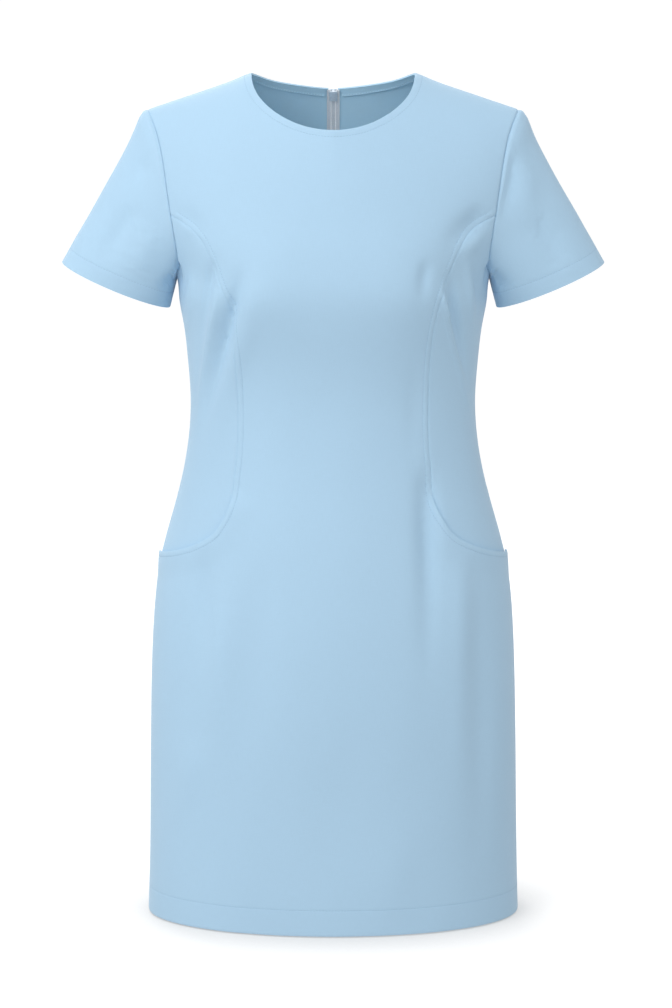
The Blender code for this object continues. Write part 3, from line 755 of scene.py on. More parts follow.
@dataclass
class Panel:
    """A panel of cloth, cut flat and raised onto the form as a thin wall.

    Attributes:
        name: The piece's name.
        face: The face of the form that it lies on.
        edges: Its outline as flat lines in turn, each from the end of the one before.
        dipped: For each edge, how deep its pressed seam dips, or 0 for a free edge.
        rows: Rows of stitches on it.
        cell: The size of its mesh.
    """

    name: str
    face: Face
    edges: list
    dipped: list
    rows: list = field(default_factory=list)
    cell: float = CELL

    def outline(self) -> np.ndarray:
        """The closed outline's flat places."""
        return np.concatenate([edge[:-1] for edge in self.edges])

    def extra_out(self, points: np.ndarray) -> np.ndarray:
        """How far this panel stands off the form, beyond its folds."""
        return np.zeros(len(points))

    def guide_lines(self) -> list[np.ndarray]:
        """Flat lines close beside the seams and rows, where the mesh has to be fine.

        Returns:
            The flat places of each line.
        """
        lines = []
        middle = self.outline().mean(0)
        for edge in self.edges:
            step = edge[len(edge) // 2] - edge[len(edge) // 2 - 1]
            inwards = middle - edge[len(edge) // 2]
            side = 1 if step[0] * inwards[1] - step[1] * inwards[0] > 0 else -1
            lines += [draw_in(edge, self.face, away, side) for away in SEAM_GUIDES]
        for row in self.rows:
            lines.append(row.flat)
            for away in ROW_GUIDES:
                lines += [draw_in(row.flat, self.face, away, side) for side in (1, -1)]
        return lines

    def flat_mesh(self) -> tuple[np.ndarray, list, int]:
        """Cuts the panel into triangles.

        Returns:
            The flat places, the triangles, and how many of the places are the outline's.
        """
        outline = self.outline()
        placed = [outline]
        edge_tree = tree_of(outline)
        edges, start = [], len(outline)
        for line in self.guide_lines():
            gap = np.array([edge_tree.find((*place, 0.0))[2] for place in line])
            kept = inside(line, outline) & (gap > CLEAR_OF_OUTLINE)
            index = np.cumsum(kept) - 1 + start
            edges += [(index[i], index[i + 1]) for i in range(len(line) - 1) if kept[i] and kept[i + 1]]
            placed.append(line[kept])
            start += int(kept.sum())
        fixed = np.concatenate(placed)
        tree = tree_of(fixed)
        low, high = outline.min(0), outline.max(0)
        fill = []
        for j, v in enumerate(np.arange(low[1], high[1], self.cell * math.sqrt(0.75))):
            u = np.arange(low[0] + (j % 2) * self.cell / 2, high[0], self.cell)
            fill.append(np.stack([u, np.full(len(u), v)], axis=1))
        fill = np.concatenate(fill)
        fill = fill[inside(fill, outline)]
        clear = np.array([tree.find((*place, 0.0))[2] for place in fill]) > self.cell * CLEAR_OF_LINES
        places = np.concatenate([fixed, fill[clear]])
        count = len(outline)
        made = geometry.delaunay_2d_cdt(
            [Vector(place) for place in places],
            [(int(a), int(b)) for a, b in edges],
            [list(range(count))],
            1,
            1e-4,
        )
        origin = [ids[0] if ids else -1 for ids in made[3]]
        order = {index: new for new, index in enumerate(origin) if index >= 0}
        flat = np.array([tuple(place) for place in made[0]])
        rim = [order.get(i) for i in range(count)]
        assert None not in rim, f"{self.name}: its outline was cut"
        first = {old: new for new, old in enumerate(rim)}
        rest = [i for i in range(len(flat)) if i not in first]
        turn = np.empty(len(flat), int)
        turn[rim] = np.arange(count)
        turn[rest] = np.arange(count, len(flat))
        triangles = [tuple(int(turn[i]) for i in face) for face in made[2]]
        return flat[np.concatenate([rim, rest])], triangles, count

    def raise_cloth(self, flat: np.ndarray) -> tuple[np.ndarray, np.ndarray]:
        """Raises flat places onto the form, with the folds, seams and grooves.

        Args:
            flat: The flat places.

        Returns:
            The points of the cloth's outer face, and the directions out of it.
        """
        angle, drop = raise_flat(flat)
        plain = form_points(self.face, angle, drop)
        normal = form_normals(self.face, angle, drop)
        out = cloth_out(self.face, plain, FOLDS + DART_LINES) + self.extra_out(plain)
        pucker = SEAM_PUCKER * smooth_noise(plain, SEAM_PUCKER_SIZE, SEAM_PUCKER_SEED)
        for edge, dips in zip(self.edges, self.dipped):
            away = distances(plain, raised(self.face, edge))
            if dips:
                out = out - dips * np.exp(-((away / SEAM_DIP_WIDTH) ** 2))
                out = out + pucker * np.exp(-(((away - PUCKER_WIDTH) / PUCKER_WIDTH) ** 2))
            else:
                out = out - FREE_EDGE_TURN * np.exp(-((away / FREE_EDGE_WIDTH) ** 2))
        pucker = STITCH_PUCKER * smooth_noise(plain, STITCH_PUCKER_SIZE, STITCH_PUCKER_SEED)
        for row in self.rows:
            away = distances(plain, raised(self.face, row.flat))
            out = out - STITCH_GROOVE * np.exp(-((away / STITCH_GROOVE_WIDTH) ** 2))
            out = out + pucker * np.exp(-((away / PUCKER_WIDTH) ** 2))
        return settle_neck(plain) + normal * out[:, None], normal

    def wall(self, flat: np.ndarray) -> np.ndarray:
        """The cloth's thickness at flat places, doubled at the hem."""
        return np.where(raise_flat(flat)[1] > HEM_DROP - HEM_DEPTH, HEM_WALL, WALL)

    def build(self) -> bpy.types.Object:
        """Makes the panel's mesh, with a map of the cloth's own threads.

        Returns:
            The new object, at the origin.
        """
        flat, triangles, count = self.flat_mesh()
        outer, _ = self.raise_cloth(flat)
        inner = outer - mesh_normals(outer, triangles, self.face) * self.wall(flat)[:, None]
        rim = [*range(count), 0]
        return wall_object(self.name, outer, inner, triangles, [rim], self.threads(flat))

    def threads(self, flat: np.ndarray) -> np.ndarray:
        """Where each flat place lies in the woven cloth, in metres, across and down.

        Args:
            flat: The flat places.

        Returns:
            A row of two for each place.
        """
        angle, drop = raise_flat(flat)
        steps = 24
        width, depth = half_width(drop), front_depth(drop)
        shares = (np.arange(steps) + 0.5) / steps
        turns = angle[:, None] * shares[None]
        rate = np.hypot(width[:, None] * np.cos(turns), 0.9 * depth[:, None] * np.sin(turns))
        across = rate.mean(1) * angle
        return np.stack([across, -flat[:, 1]], axis=1) * MM

    def stitch_lines(self) -> list[tuple[np.ndarray, np.ndarray]]:
        """The raised lines and normals that the thread follows.

        Returns:
            Points and normals for each row.
        """
        lines = []
        for row in self.rows:
            if row.stitched:
                lines.append(self.raise_cloth(even_line(row.flat, self.face, STITCH_STEP)))
        return lines


def mesh_normals(points: np.ndarray, triangles: list, face: Face) -> np.ndarray:
    """Each point's direction out of a meshed panel.

    Args:
        points: The panel's points.
        triangles: Its faces.
        face: The face of the form that it lies on.

    Returns:
        A row of length one for each point.
    """
    corners = np.array(triangles)
    a, b, c = points[corners[:, 0]], points[corners[:, 1]], points[corners[:, 2]]
    across = np.cross(b - a, c - a)
    normal = np.zeros_like(points)
    for i in range(3):
        np.add.at(normal, corners[:, i], across)
    if np.sum(normal[:, 1]) * face.value < 0:
        normal = -normal
    return unit(normal)


def new_object(name: str, points: np.ndarray, faces: list) -> bpy.types.Object:
    """A new object of points, in metres, and faces, at the origin.

    Args:
        name: Its name and its mesh's.
        points: Its points.
        faces: Its faces.

    Returns:
        The object.
    """
    mesh = bpy.data.meshes.new(name)
    mesh.from_pydata(points.tolist(), [], faces)
    thing = bpy.data.objects.new(name, mesh)
    bpy.context.collection.objects.link(thing)
    return thing


def wall_object(
    name: str,
    outer: np.ndarray,
    inner: np.ndarray,
    faces: list,
    rims: list[list[int]],
    threads: np.ndarray,
) -> bpy.types.Object:
    """A closed wall between two layers of points, in millimetres, with softened edges.

    Args:
        name: The piece's name.
        outer: The outer layer's points.
        inner: The inner layer's points, in the same order.
        faces: The faces of a layer.
        rims: The stretches of the layer's edge, each in order.
        threads: Where each point lies in the woven cloth.

    Returns:
        The new object, at the origin.
    """
    count = len(outer)
    closed = [list(face) for face in faces]
    closed += [[i + count for i in reversed(face)] for face in faces]
    for rim in rims:
        closed += [[j, i, i + count, j + count] for i, j in zip(rim, rim[1:])]
    thing = new_object(name, np.concatenate([outer, inner]) * MM, closed)
    map_threads(thing.data, np.concatenate([threads, threads]))
    mark_inner(thing.data)
    return finish_mesh(thing)


def map_threads(mesh: bpy.types.Mesh, threads: np.ndarray) -> None:
    """Writes each point's place in the woven cloth to the mesh's own map.

    Args:
        mesh: The mesh.
        threads: The place of each of its points, in metres.
    """
    layer = mesh.uv_layers.new(name="threads")
    corners = np.empty(len(mesh.loops), int)
    mesh.loops.foreach_get("vertex_index", corners)
    layer.data.foreach_set("uv", threads[corners].astype(np.float32).ravel())


def mark_inner(mesh: bpy.types.Mesh) -> None:
    """Marks the second half of a wall's points, which are its inner face's; the cloth's finish paints these
    paler, as painted light.
    """
    inner = np.arange(len(mesh.vertices)) >= len(mesh.vertices) // 2
    mesh.attributes.new("inner", "FLOAT", "POINT").data.foreach_set("value", inner.astype(np.float32))


def finish_mesh(thing: bpy.types.Object) -> bpy.types.Object:
    """Turns a piece's faces outwards and shades it smooth, but for its sharp edges.

    Args:
        thing: The piece, a closed shape.

    Returns:
        The same piece.
    """
    made = bmesh.new()
    made.from_mesh(thing.data)
    bmesh.ops.recalc_face_normals(made, faces=made.faces)
    if made.calc_volume(signed=True) < 0:
        bmesh.ops.reverse_faces(made, faces=made.faces)
    made.to_mesh(thing.data)
    made.free()
    deselect()
    thing.select_set(True)
    bpy.context.view_layer.objects.active = thing
    bpy.ops.object.shade_smooth_by_angle(angle=math.radians(50))
    return thing


def deselect() -> None:
    """Leaves nothing selected."""
    for thing in bpy.context.view_layer.objects:
        thing.select_set(False)


class FrontPanel(Panel):
    """The front, with the whole skirt front, whose upper skirt edges are the pocket edges."""

    def extra_out(self, points: np.ndarray) -> np.ndarray:
        """The pocket edges stand proud of the form, and so do the seam allowances, slightly.

        Args:
            points: Points of the form.

        Returns:
            The distance out at each point.
        """
        seam = pocket_line(np.linspace(PRINCESS_TOP_DROP, POCKET_CORNER_DROP, 260))
        near = (-points[:, 2] > PRINCESS_TOP_DROP - 10) & (-points[:, 2] < POCKET_CORNER_DROP + 12)
        rise = np.zeros(len(points))
        if near.any():
            away = distances(on_right(points[near]), seam)
            rise[near] = ALLOWANCE_RISE * (1 - smooth((away - TOPSTITCH_IN + 1.2) / 1.8))
        return pocket_proud(points) + rise

    def wall(self, flat: np.ndarray) -> np.ndarray:
        """The hem is doubled, and so are the pocket edges, more thinly."""
        proud = pocket_proud(raised(self.face, flat)) / POCKET_PROUD
        return super().wall(flat) + POCKET_TURN * smooth((proud - 0.75) / 0.2)


class SideFront(Panel):
    """A side front: it joins the front down its seam, then runs on under the pocket's edge."""

    def extra_out(self, points: np.ndarray) -> np.ndarray:
        """Under the front panel it lies just below that panel's inner face.

        Args:
            points: Points of the form.

        Returns:
            The distance out at each point.
        """
        drop = -points[:, 2]
        under = (np.abs(points[:, 0]) < princess_x(np.minimum(drop, POCKET_CORNER_DROP))) | (
            drop > POCKET_CORNER_DROP
        )
        under &= drop > POCKET_TOP_DROP - 10
        edge_drop = np.linspace(POCKET_TOP_DROP - 10, POCKET_CORNER_DROP, 60)
        away = distances(on_right(points), pocket_line(edge_drop))
        sunk = np.minimum(pocket_proud(points) - WALL - 1.5, -0.4) * smooth(away / 2.4)
        return np.where(under, sunk, 0.0)


def mirrored(edges: list, dipped: list) -> tuple[list, list]:
    """The same outline on the other side of the dress, still in turn."""
    return [edge[::-1] * (-1, 1) for edge in reversed(edges)], list(reversed(dipped))


def neck_line(face: Face, start: float) -> np.ndarray:
    """The neckline's flat places, from a distance across to the neck point on the right.

    Args:
        face: The face of the form that it lies on.
        start: The distance across that it starts at.

    Returns:
        Its flat places, evenly spaced on the form.
    """
    turn = np.linspace(math.asin(start / NECK_HALF_WIDTH), math.pi / 2, 900)
    x = NECK_HALF_WIDTH * np.sin(turn)
    return even_line(flat_of(x, neck_drop(face, x)), face, SEAM_STEP)


def shoulder_line(face: Face) -> np.ndarray:
    """The shoulder seam's flat places, from the neck point outwards."""
    x = np.linspace(NECK_HALF_WIDTH, SHOULDER_HALF_WIDTH, 200)
    return even_line(flat_of(x, ridge_drop(x)), face, SEAM_STEP)


def hem_line(face: Face, drop: float, start: float, end: float) -> np.ndarray:
    """A level line's flat places between two shares of the way to the side seam.

    Args:
        face: The face of the form that it lies on.
        drop: Its drop.
        start: The share that it starts at, below 0 on the left.
        end: The share that it ends at.

    Returns:
        Its flat places, evenly spaced on the form.
    """
    angle = np.linspace(start, end, 400) * math.pi / 2
    width = float(half_width(drop))
    return even_line(flat_of(width * np.sin(angle), np.full(400, drop)), face, SEAM_STEP)


def front_right_edges() -> tuple[list, list]:
    """The front panel's edges down its right, from the neck point to the hem's corner.

    Returns:
        The edges in turn, and the depth that each one's seam dips.
    """
    edges = [
        shoulder_line(FRONT),
        seam_line(FRONT, armhole_x, SHOULDER_DROP, PRINCESS_TOP_DROP),
        seam_line(FRONT, princess_x, PRINCESS_TOP_DROP, POCKET_TOP_DROP + 8),
        seam_line(FRONT, pocket_edge_x, POCKET_TOP_DROP + 8, POCKET_CORNER_DROP),
        seam_line(FRONT, half_width, POCKET_CORNER_DROP, HEM_DROP),
    ]
    return edges, [SEAM_DIP, ARMHOLE_DIP, SEAM_DIP, 0.0, SEAM_DIP]


def inside_row(flat: np.ndarray, panel: Panel, stitched: bool = True) -> Row:
    """A Row of the stretch of a flat line that lies on the panel."""
    kept = inside(flat, panel.outline())
    return Row(flat[kept], stitched)


def front_panel() -> FrontPanel:
    """The front panel, ready to build.

    Returns:
        The panel, with its rows of stitches.
    """
    right, right_dips = front_right_edges()
    left, left_dips = mirrored(right, right_dips)
    neck = neck_line(FRONT, 0.0)
    whole_neck = np.concatenate([neck[::-1] * (-1, 1), neck[1:]])
    hem = hem_line(FRONT, HEM_DROP, 1.0, -1.0)
    panel = FrontPanel(
        "cloth_front_panel",
        FRONT,
        [whole_neck] + right + [hem] + left,
        [0.0] + right_dips + [0.0] + left_dips,
    )
    seam = np.concatenate([right[2][3:-1], right[3]])
    beside = draw_in(even_line(seam, FRONT, SEAM_STEP), FRONT, TOPSTITCH_IN, 1)
    panel.rows = [
        inside_row(beside, panel),
        inside_row(beside * (-1, 1), panel),
        inside_row(draw_in(whole_neck, FRONT, NECK_STITCH_IN, 1), panel),
        inside_row(hem_line(FRONT, HEM_DROP - HEM_DEPTH, -0.996, 0.996), panel),
    ]
    return panel


def side_front(name: str, sign: int) -> SideFront:
    """A side front, ready to build.

    Args:
        name: left or right.
        sign: -1 or 1 for that side.

    Returns:
        The panel.
    """
    seam = seam_line(FRONT, princess_x, PRINCESS_TOP_DROP, POCKET_TOP_DROP)
    pocket = seam_line(FRONT, pocket_edge_x, POCKET_TOP_DROP, POCKET_CORNER_DROP - 1)
    _, drop = raise_flat(pocket)
    reach = LAP_UNDER * smooth((drop - POCKET_TOP_DROP) / 24)
    lap = draw_in(pocket, FRONT, reach[:, None], 1)
    lap = lap[lap[:, 0] < FLAT_RADIUS * math.pi / 2 - 3]
    low_drop = float(raise_flat(lap[-1:])[1][0]) + 1
    side = seam_line(FRONT, half_width, UNDERARM_DROP, low_drop)
    lap = np.concatenate([lap, side[-1:]])
    edges = [seam_line(FRONT, armhole_x, PRINCESS_TOP_DROP, UNDERARM_DROP), side, lap[::-1], seam[::-1]]
    dipped = [ARMHOLE_DIP, SEAM_DIP, 0.0, SEAM_DIP]
    if sign < 0:
        edges, dipped = mirrored(edges, dipped)
    return SideFront(f"cloth_side_front_{name}", FRONT, edges, dipped)


def back(name: str, sign: int) -> Panel:
    """A back with its dart and its folded edge by the zip, ready to build.

    Args:
        name: left or right.
        sign: -1 or 1 for that side.

    Returns:
        The panel.
    """
    start = ZIP_HALF_GAP + ZIP_NOTCH
    neck = neck_line(BACK, start)
    edges = [
        neck,
        shoulder_line(BACK),
        seam_line(BACK, armhole_x, SHOULDER_DROP, UNDERARM_DROP),
        seam_line(BACK, half_width, UNDERARM_DROP, HEM_DROP),
        hem_line(BACK, HEM_DROP, 1.0, 0.0),
        seam_line(BACK, np.zeros_like, ZIP_END_DROP, HEM_DROP)[::-1],
        seam_line(BACK, zip_edge_x, float(neck_drop(BACK, start)), ZIP_END_DROP)[::-1],
    ]
    dipped = [0.0, SEAM_DIP, ARMHOLE_DIP, SEAM_DIP, 0.0, SEAM_DIP, 0.0]
    rows = [
        draw_in(neck, BACK, NECK_STITCH_IN, 1),
        hem_line(BACK, HEM_DROP - HEM_DEPTH, 0.006, 0.996),
        seam_line(
            BACK, lambda drop: np.full_like(drop, ZIP_STITCH_X), BACK_NECK_DROP, ZIP_END_DROP + 4
        ),
        even_line(flat_of(*DART_LINES[1].line(300)), BACK, SEAM_STEP),
    ]
    if sign < 0:
        edges, dipped = mirrored(edges, dipped)
        rows = [row * (-1, 1) for row in rows]
    panel = Panel(f"cloth_back_{name}", BACK, edges, dipped)
    dart_row = len(rows) - 1
    panel.rows = [inside_row(row, panel, i != dart_row) for i, row in enumerate(rows)]
    return panel


def grid_faces(rows: int, columns: int, closed: bool) -> list[list[int]]:
    """The faces of a grid of points.

    Args:
        rows: How many rows it has.
        columns: How many points each row has.
        closed: Whether the last column meets the first.

    Returns:
        Four points for each face.
    """
    faces = []
    for row in range(rows - 1):
        for column in range(columns if closed else columns - 1):
            a, b = row * columns + column, row * columns + (column + 1) % columns
            faces.append([a, b, b + columns, a + columns])
    return faces


def tube_faces(start: int, rings: int, sides: int) -> list[list[int]]:
    """The faces of a tube with closed ends.

    Args:
        start: The number of its first point.
        rings: How many rings of points it has.
        sides: How many points each ring has.

    Returns:
        The faces round it and at its ends.
    """
    last = start + (rings - 1) * sides
    faces = [[start + i for i in face] for face in grid_faces(rings, sides, True)]
    return faces + [list(range(start, start + sides))[::-1], list(range(last, last + sides))]


def grid_wall(
    name: str, outer: np.ndarray, inner: np.ndarray, threads: np.ndarray, closed: bool
) -> bpy.types.Object:
    """A closed wall between two grids of points, in millimetres.

    Args:
        name: The piece's name.
        outer: The outer layer, by row and column.
        inner: The inner layer, in the same order.
        threads: Where each point lies in the woven cloth.
        closed: Whether the last column meets the first.

    Returns:
        The new object, at the origin.
    """
    rows, columns = outer.shape[:2]
    top = [column % columns for column in range(columns + int(closed))]
    low = [(rows - 1) * columns + column for column in reversed(top)]
    rims = [top, low]
    if not closed:
        first = [row * columns for row in range(rows)]
        rims += [first[::-1], [place + columns - 1 for place in first]]
    layers = outer.reshape(-1, 3), inner.reshape(-1, 3)
    thing = wall_object(name, *layers, grid_faces(rows, columns, closed), rims, threads.reshape(-1, 2))
    if closed:
        unwrap_turn(thing.data, float(np.ptp(threads[..., 0])) * columns / (columns - 1))
    return thing


def unwrap_turn(mesh: bpy.types.Mesh, girth: float) -> None:
    """Carries the thread map on round the faces where a tube's last column meets its first.

    Args:
        mesh: The tube's mesh.
        girth: The distance round it in the map.
    """
    layer = mesh.uv_layers["threads"]
    for face in mesh.polygons:
        across = [layer.data[i].uv.x for i in face.loop_indices]
        if max(across) - min(across) > girth / 2:
            for i in face.loop_indices:
                if layer.data[i].uv.x < max(across) - girth / 2:
                    layer.data[i].uv.x += girth


def grid_normals(grid: np.ndarray, closed: bool) -> np.ndarray:
    """The directions square to a grid of points.

    Args:
        grid: The points, by row and column.
        closed: Whether the last column meets the first.

    Returns:
        A row of length one for each point.
    """
    if closed:
        round_it = np.roll(grid, -1, axis=1) - np.roll(grid, 1, axis=1)
    else:
        round_it = np.gradient(grid, axis=1)
    return unit(np.cross(round_it, np.gradient(grid, axis=0)))


@dataclass(frozen=True)
class SleeveFold:
    """A soft ridge or trough in a sleeve.

    Attributes:
        sign: The side it is on.
        places: (angle, share): the angle in degrees round the sleeve, from 0 on the shoulder down
            the front to 180 under the arm, and the share of the way to the cuff.
        width: How far to each side it spreads.
        height: Its height, below 0 for a trough.
    """

    sign: int
    places: tuple
    width: float
    height: float


SLEEVE_FOLD_ROWS = (  # sign, places, width, height
    (-1, ((64, 0.28), (60, 0.62), (66, 0.9)), 12, -2.6),
    (-1, ((92, 0.2), (98, 0.55), (104, 0.85)), 13, 2.2),
    (-1, ((152, 0.1), (146, 0.4), (134, 0.75)), 9, -3.0),
    (-1, ((38, 0.12), (44, 0.3)), 10, -1.4),
    (1, ((34, 0.03), (66, 0.09), (104, 0.12)), 8, -2.8),
    (1, ((30, 0.2), (58, 0.3), (84, 0.42)), 13, 2.4),
    (1, ((70, 0.4), (66, 0.66), (72, 0.92)), 12, -2.2),
    (1, ((150, 0.12), (142, 0.45), (130, 0.8)), 10, -2.8),
    (-1, ((250, 0.1), (262, 0.5), (258, 0.88)), 13, -2.8),
    (-1, ((300, 0.2), (306, 0.55), (298, 0.9)), 14, 2.4),
    (1, ((246, 0.12), (254, 0.5), (250, 0.85)), 12, -2.6),
    (1, ((292, 0.16), (300, 0.6), (304, 0.92)), 14, 2.2),
    (-1, ((208, 0.1), (214, 0.5), (226, 0.8)), 9, -2.6),
    (1, ((212, 0.1), (216, 0.45), (230, 0.8)), 9, -2.4),
)
SLEEVE_FOLDS = tuple(SleeveFold(*row) for row in SLEEVE_FOLD_ROWS)


@dataclass
class Sleeve:
    """A short set-in sleeve, lofted from the armhole to its cuff.

    Attributes:
        name: left or right.
        sign: -1 or 1 for that side.
        cuff_outer: The drop of the cuff's outer end, and how far across it lies.
        cuff_inner: The same of its end under the arm.
        half_depth: Half the cuff's depth, front to back.
        tilt: The angle by which the cuff's front lies further down the sleeve than its back.
        cap_rise: How far the cap stands up beside its seam.
        cap_lean: Which way it does so, across and up.
        cap_peak: Where it does so most, as a share of the way to the cuff.
        half_turns: How many columns of points it has over each face.
        turned_in: The height, start and reach of the roll that the seam gives the cloth.
        settle: How far from the seam folds reach their height.
        waves: The height, size, seed and settling distance of its slight waves.
        underarm: The depth, width and settling distance of the pressed seam under the arm.
        column_step: The distance between columns there.
    """

    name: str
    sign: int
    cuff_outer: tuple = (200.2, 294.8)
    cuff_inner: tuple = (249.6, 177.6)
    half_depth: float = 43.0
    tilt: float = math.radians(8.0)
    cap_rise: float = 4.2
    cap_lean: tuple = (0.85, 0.5)
    cap_peak: float = 0.055
    half_turns: int = 84
    turned_in: tuple = (0.9, 1.6, 14)
    settle: float = 10
    waves: tuple = (0.45, 34.0, 6.4, 20)
    underarm: tuple = (0.7, 1.9, 4)
    column_step: float = 2.9

    def armhole(self) -> tuple[np.ndarray, np.ndarray, np.ndarray]:
        """The armhole from under the arm up the back, over the shoulder and down the front.

        Returns:
            The seam's points, the directions out of the dress there, and the angles round.
        """
        points, normals, angles = [], [], []
        for face in (BACK, FRONT):
            drop = spaced_drops(SHOULDER_DROP, UNDERARM_DROP)
            flat = flat_of(self.sign * armhole_x(drop), drop)
            flat = even_line(flat, face, lengths_along(raised(face, flat))[-1] / self.half_turns)
            plain, out = raised(face, flat), form_normals(face, *raise_flat(flat))
            plain = plain + out * (cloth_out(face, plain) - 0.7)[:, None]
            turn = np.linspace(0, math.pi, len(flat))
            if face is BACK:
                plain, out, turn = plain[::-1], out[::-1], 2 * math.pi - turn[::-1]
            points.append(plain[:-1])
            normals.append(out[:-1])
            angles.append(turn[:-1])
        return np.concatenate(points), np.concatenate(normals), np.concatenate(angles)

    def cuff(self, angle: np.ndarray) -> np.ndarray:
        """Points of the cuff's edge at angles round the sleeve.

        Args:
            angle: Angles round, from 0 at the outer end.

        Returns:
            A row of (x, y, z) for each angle.
        """
        outer = np.array([self.sign * self.cuff_outer[1], 0, -self.cuff_outer[0]])
        inner = np.array([self.sign * self.cuff_inner[1], 0, -self.cuff_inner[0]])
        across, rise = outer[2] - inner[2], abs(outer[0]) - abs(inner[0])
        axis = unit(np.array([self.sign * across, 0, -rise]))
        deep = np.array([0, -math.cos(self.tilt), 0]) + axis * math.sin(self.tilt)
        middle = (outer + inner) / 2
        round_it = np.cos(angle)[:, None] * (outer - inner) / 2
        return middle + round_it + self.half_depth * np.sin(angle)[:, None] * deep

    def shares(self, length: np.ndarray) -> tuple[np.ndarray, int]:
        """The shares of the way to the cuff of each ring of points, and the stitched ring.

        Args:
            length: The sleeve's length at each column of points.

        Returns:
            The shares, by ring and column, and the number of the stitched ring.
        """
        hem = np.maximum(1 - CUFF_DEPTH / length, 0.42)
        fine = np.array([0.0, 0.7, 1.6, 2.8, 4.4])
        rings = [away / length for away in fine]
        rings += [5.5 / length + (hem - 9 / length) * share for share in np.linspace(0.04, 0.97, 38)]
        stitched = len(rings) + 2
        rings += [hem + away / length for away in (-1.8, -0.7, 0.0, 0.7, 1.8)]
        rings += [hem + (1 - hem) * share for share in (0.25, 0.42, 0.6, 0.76, 0.88, 0.96, 1.0)]
        return np.array(rings), stitched

    def build(self) -> tuple[bpy.types.Object, tuple[np.ndarray, np.ndarray]]:
        """Makes the sleeve.

        Returns:
            The sleeve, and the points and normals of its row of stitches.
        """
        start, out, angle = self.armhole()
        end = self.cuff(angle)
        length = np.linalg.norm(end - start, axis=1)
        shares, stitched = self.shares(length)
        away = shares * length
        rise = self.cap_rise * np.maximum(np.cos(angle), 0.0) ** 0.5
        bump = shares / self.cap_peak * np.exp(1 - shares / self.cap_peak)
        lift = np.array([self.sign * self.cap_lean[0], 0, self.cap_lean[1]])
        grid = start + (end - start) * shares[..., None] + lift * (rise * bump)[..., None]
        roll, start_in, reach = self.turned_in
        roll = roll * (1 - np.exp(-((away / start_in) ** 2))) * np.exp(-away / reach)
        grid = grid + out * roll[..., None]
        normal = grid_normals(grid, True)
        centre = grid.mean(axis=1, keepdims=True)
        if np.sum(normal * (grid - centre)) < 0:
            normal = -normal
        flat_grid = grid.reshape(-1, 3)
        height = np.zeros(len(flat_grid))
        for fold in SLEEVE_FOLDS:
            if fold.sign == self.sign:
                height += self.fold_heights(fold, grid, angle, shares)
        height = height.reshape(away.shape) * smooth(away / self.settle)
        wave, size, seed, settle = self.waves
        height += wave * smooth_noise(flat_grid, size, seed).reshape(away.shape) * smooth(away / settle)
        height -= STITCH_GROOVE * np.exp(-(((away - away[stitched]) / STITCH_GROOVE_WIDTH) ** 2))
        columns = np.arange(len(angle))
        round_it = np.minimum(columns, len(angle) - columns) * self.column_step
        dip, width, settle = self.underarm
        height -= dip * np.exp(-((round_it / width) ** 2)) * smooth(away / settle)
        grid = grid + normal * height[..., None]
        wall = np.where(np.arange(len(shares)) >= stitched, HEM_WALL, WALL)[:, None, None]
        inner = grid - normal * wall
        girth = np.linalg.norm(np.roll(grid, -1, axis=1) - grid, axis=2).mean() * len(angle)
        across = np.linspace(0, girth, len(angle), endpoint=False)[None].repeat(len(shares), 0)
        threads = np.stack([across, -away], axis=2) * MM
        sleeve = grid_wall(f"cloth_sleeve_{self.name}", grid, inner, threads, True)
        row = np.concatenate([grid[stitched], grid[stitched][:1]])
        return sleeve, (row, np.concatenate([normal[stitched], normal[stitched][:1]]))

    def fold_heights(
        self, fold: SleeveFold, grid: np.ndarray, angle: np.ndarray, shares: np.ndarray
    ) -> np.ndarray:
        """How far a fold moves each point of the sleeve's grid.

        Args:
            fold: The fold.
            grid: The sleeve's points, by ring and column.
            angle: The angle round of each column.
            shares: The share of the way to the cuff of each point.

        Returns:
            The distance out at each point, ring after ring.
        """
        fine = np.linspace(0, 1, 30)
        knots = np.linspace(0, 1, len(fold.places))
        turns = np.radians(np.interp(fine, knots, [place[0] for place in fold.places]))
        goals = np.interp(fine, knots, [place[1] for place in fold.places])
        order = np.argsort(angle)
        columns = order[np.searchsorted(angle[order], turns).clip(0, len(angle) - 1)]
        rows = np.array([int(np.abs(shares[:, c] - goal).argmin()) for c, goal in zip(columns, goals)])
        line = grid[rows, columns]
        points = grid.reshape(-1, 3)
        gap = np.linalg.norm(points[:, None] - line[None], axis=2)
        nearest = gap.argmin(1)
        along = fine[nearest]
        off = gap[np.arange(len(points)), nearest] / fold.width
        return fold.height * smooth(along / 0.35) * smooth((1 - along) / 0.5) * np.exp(-off * off)


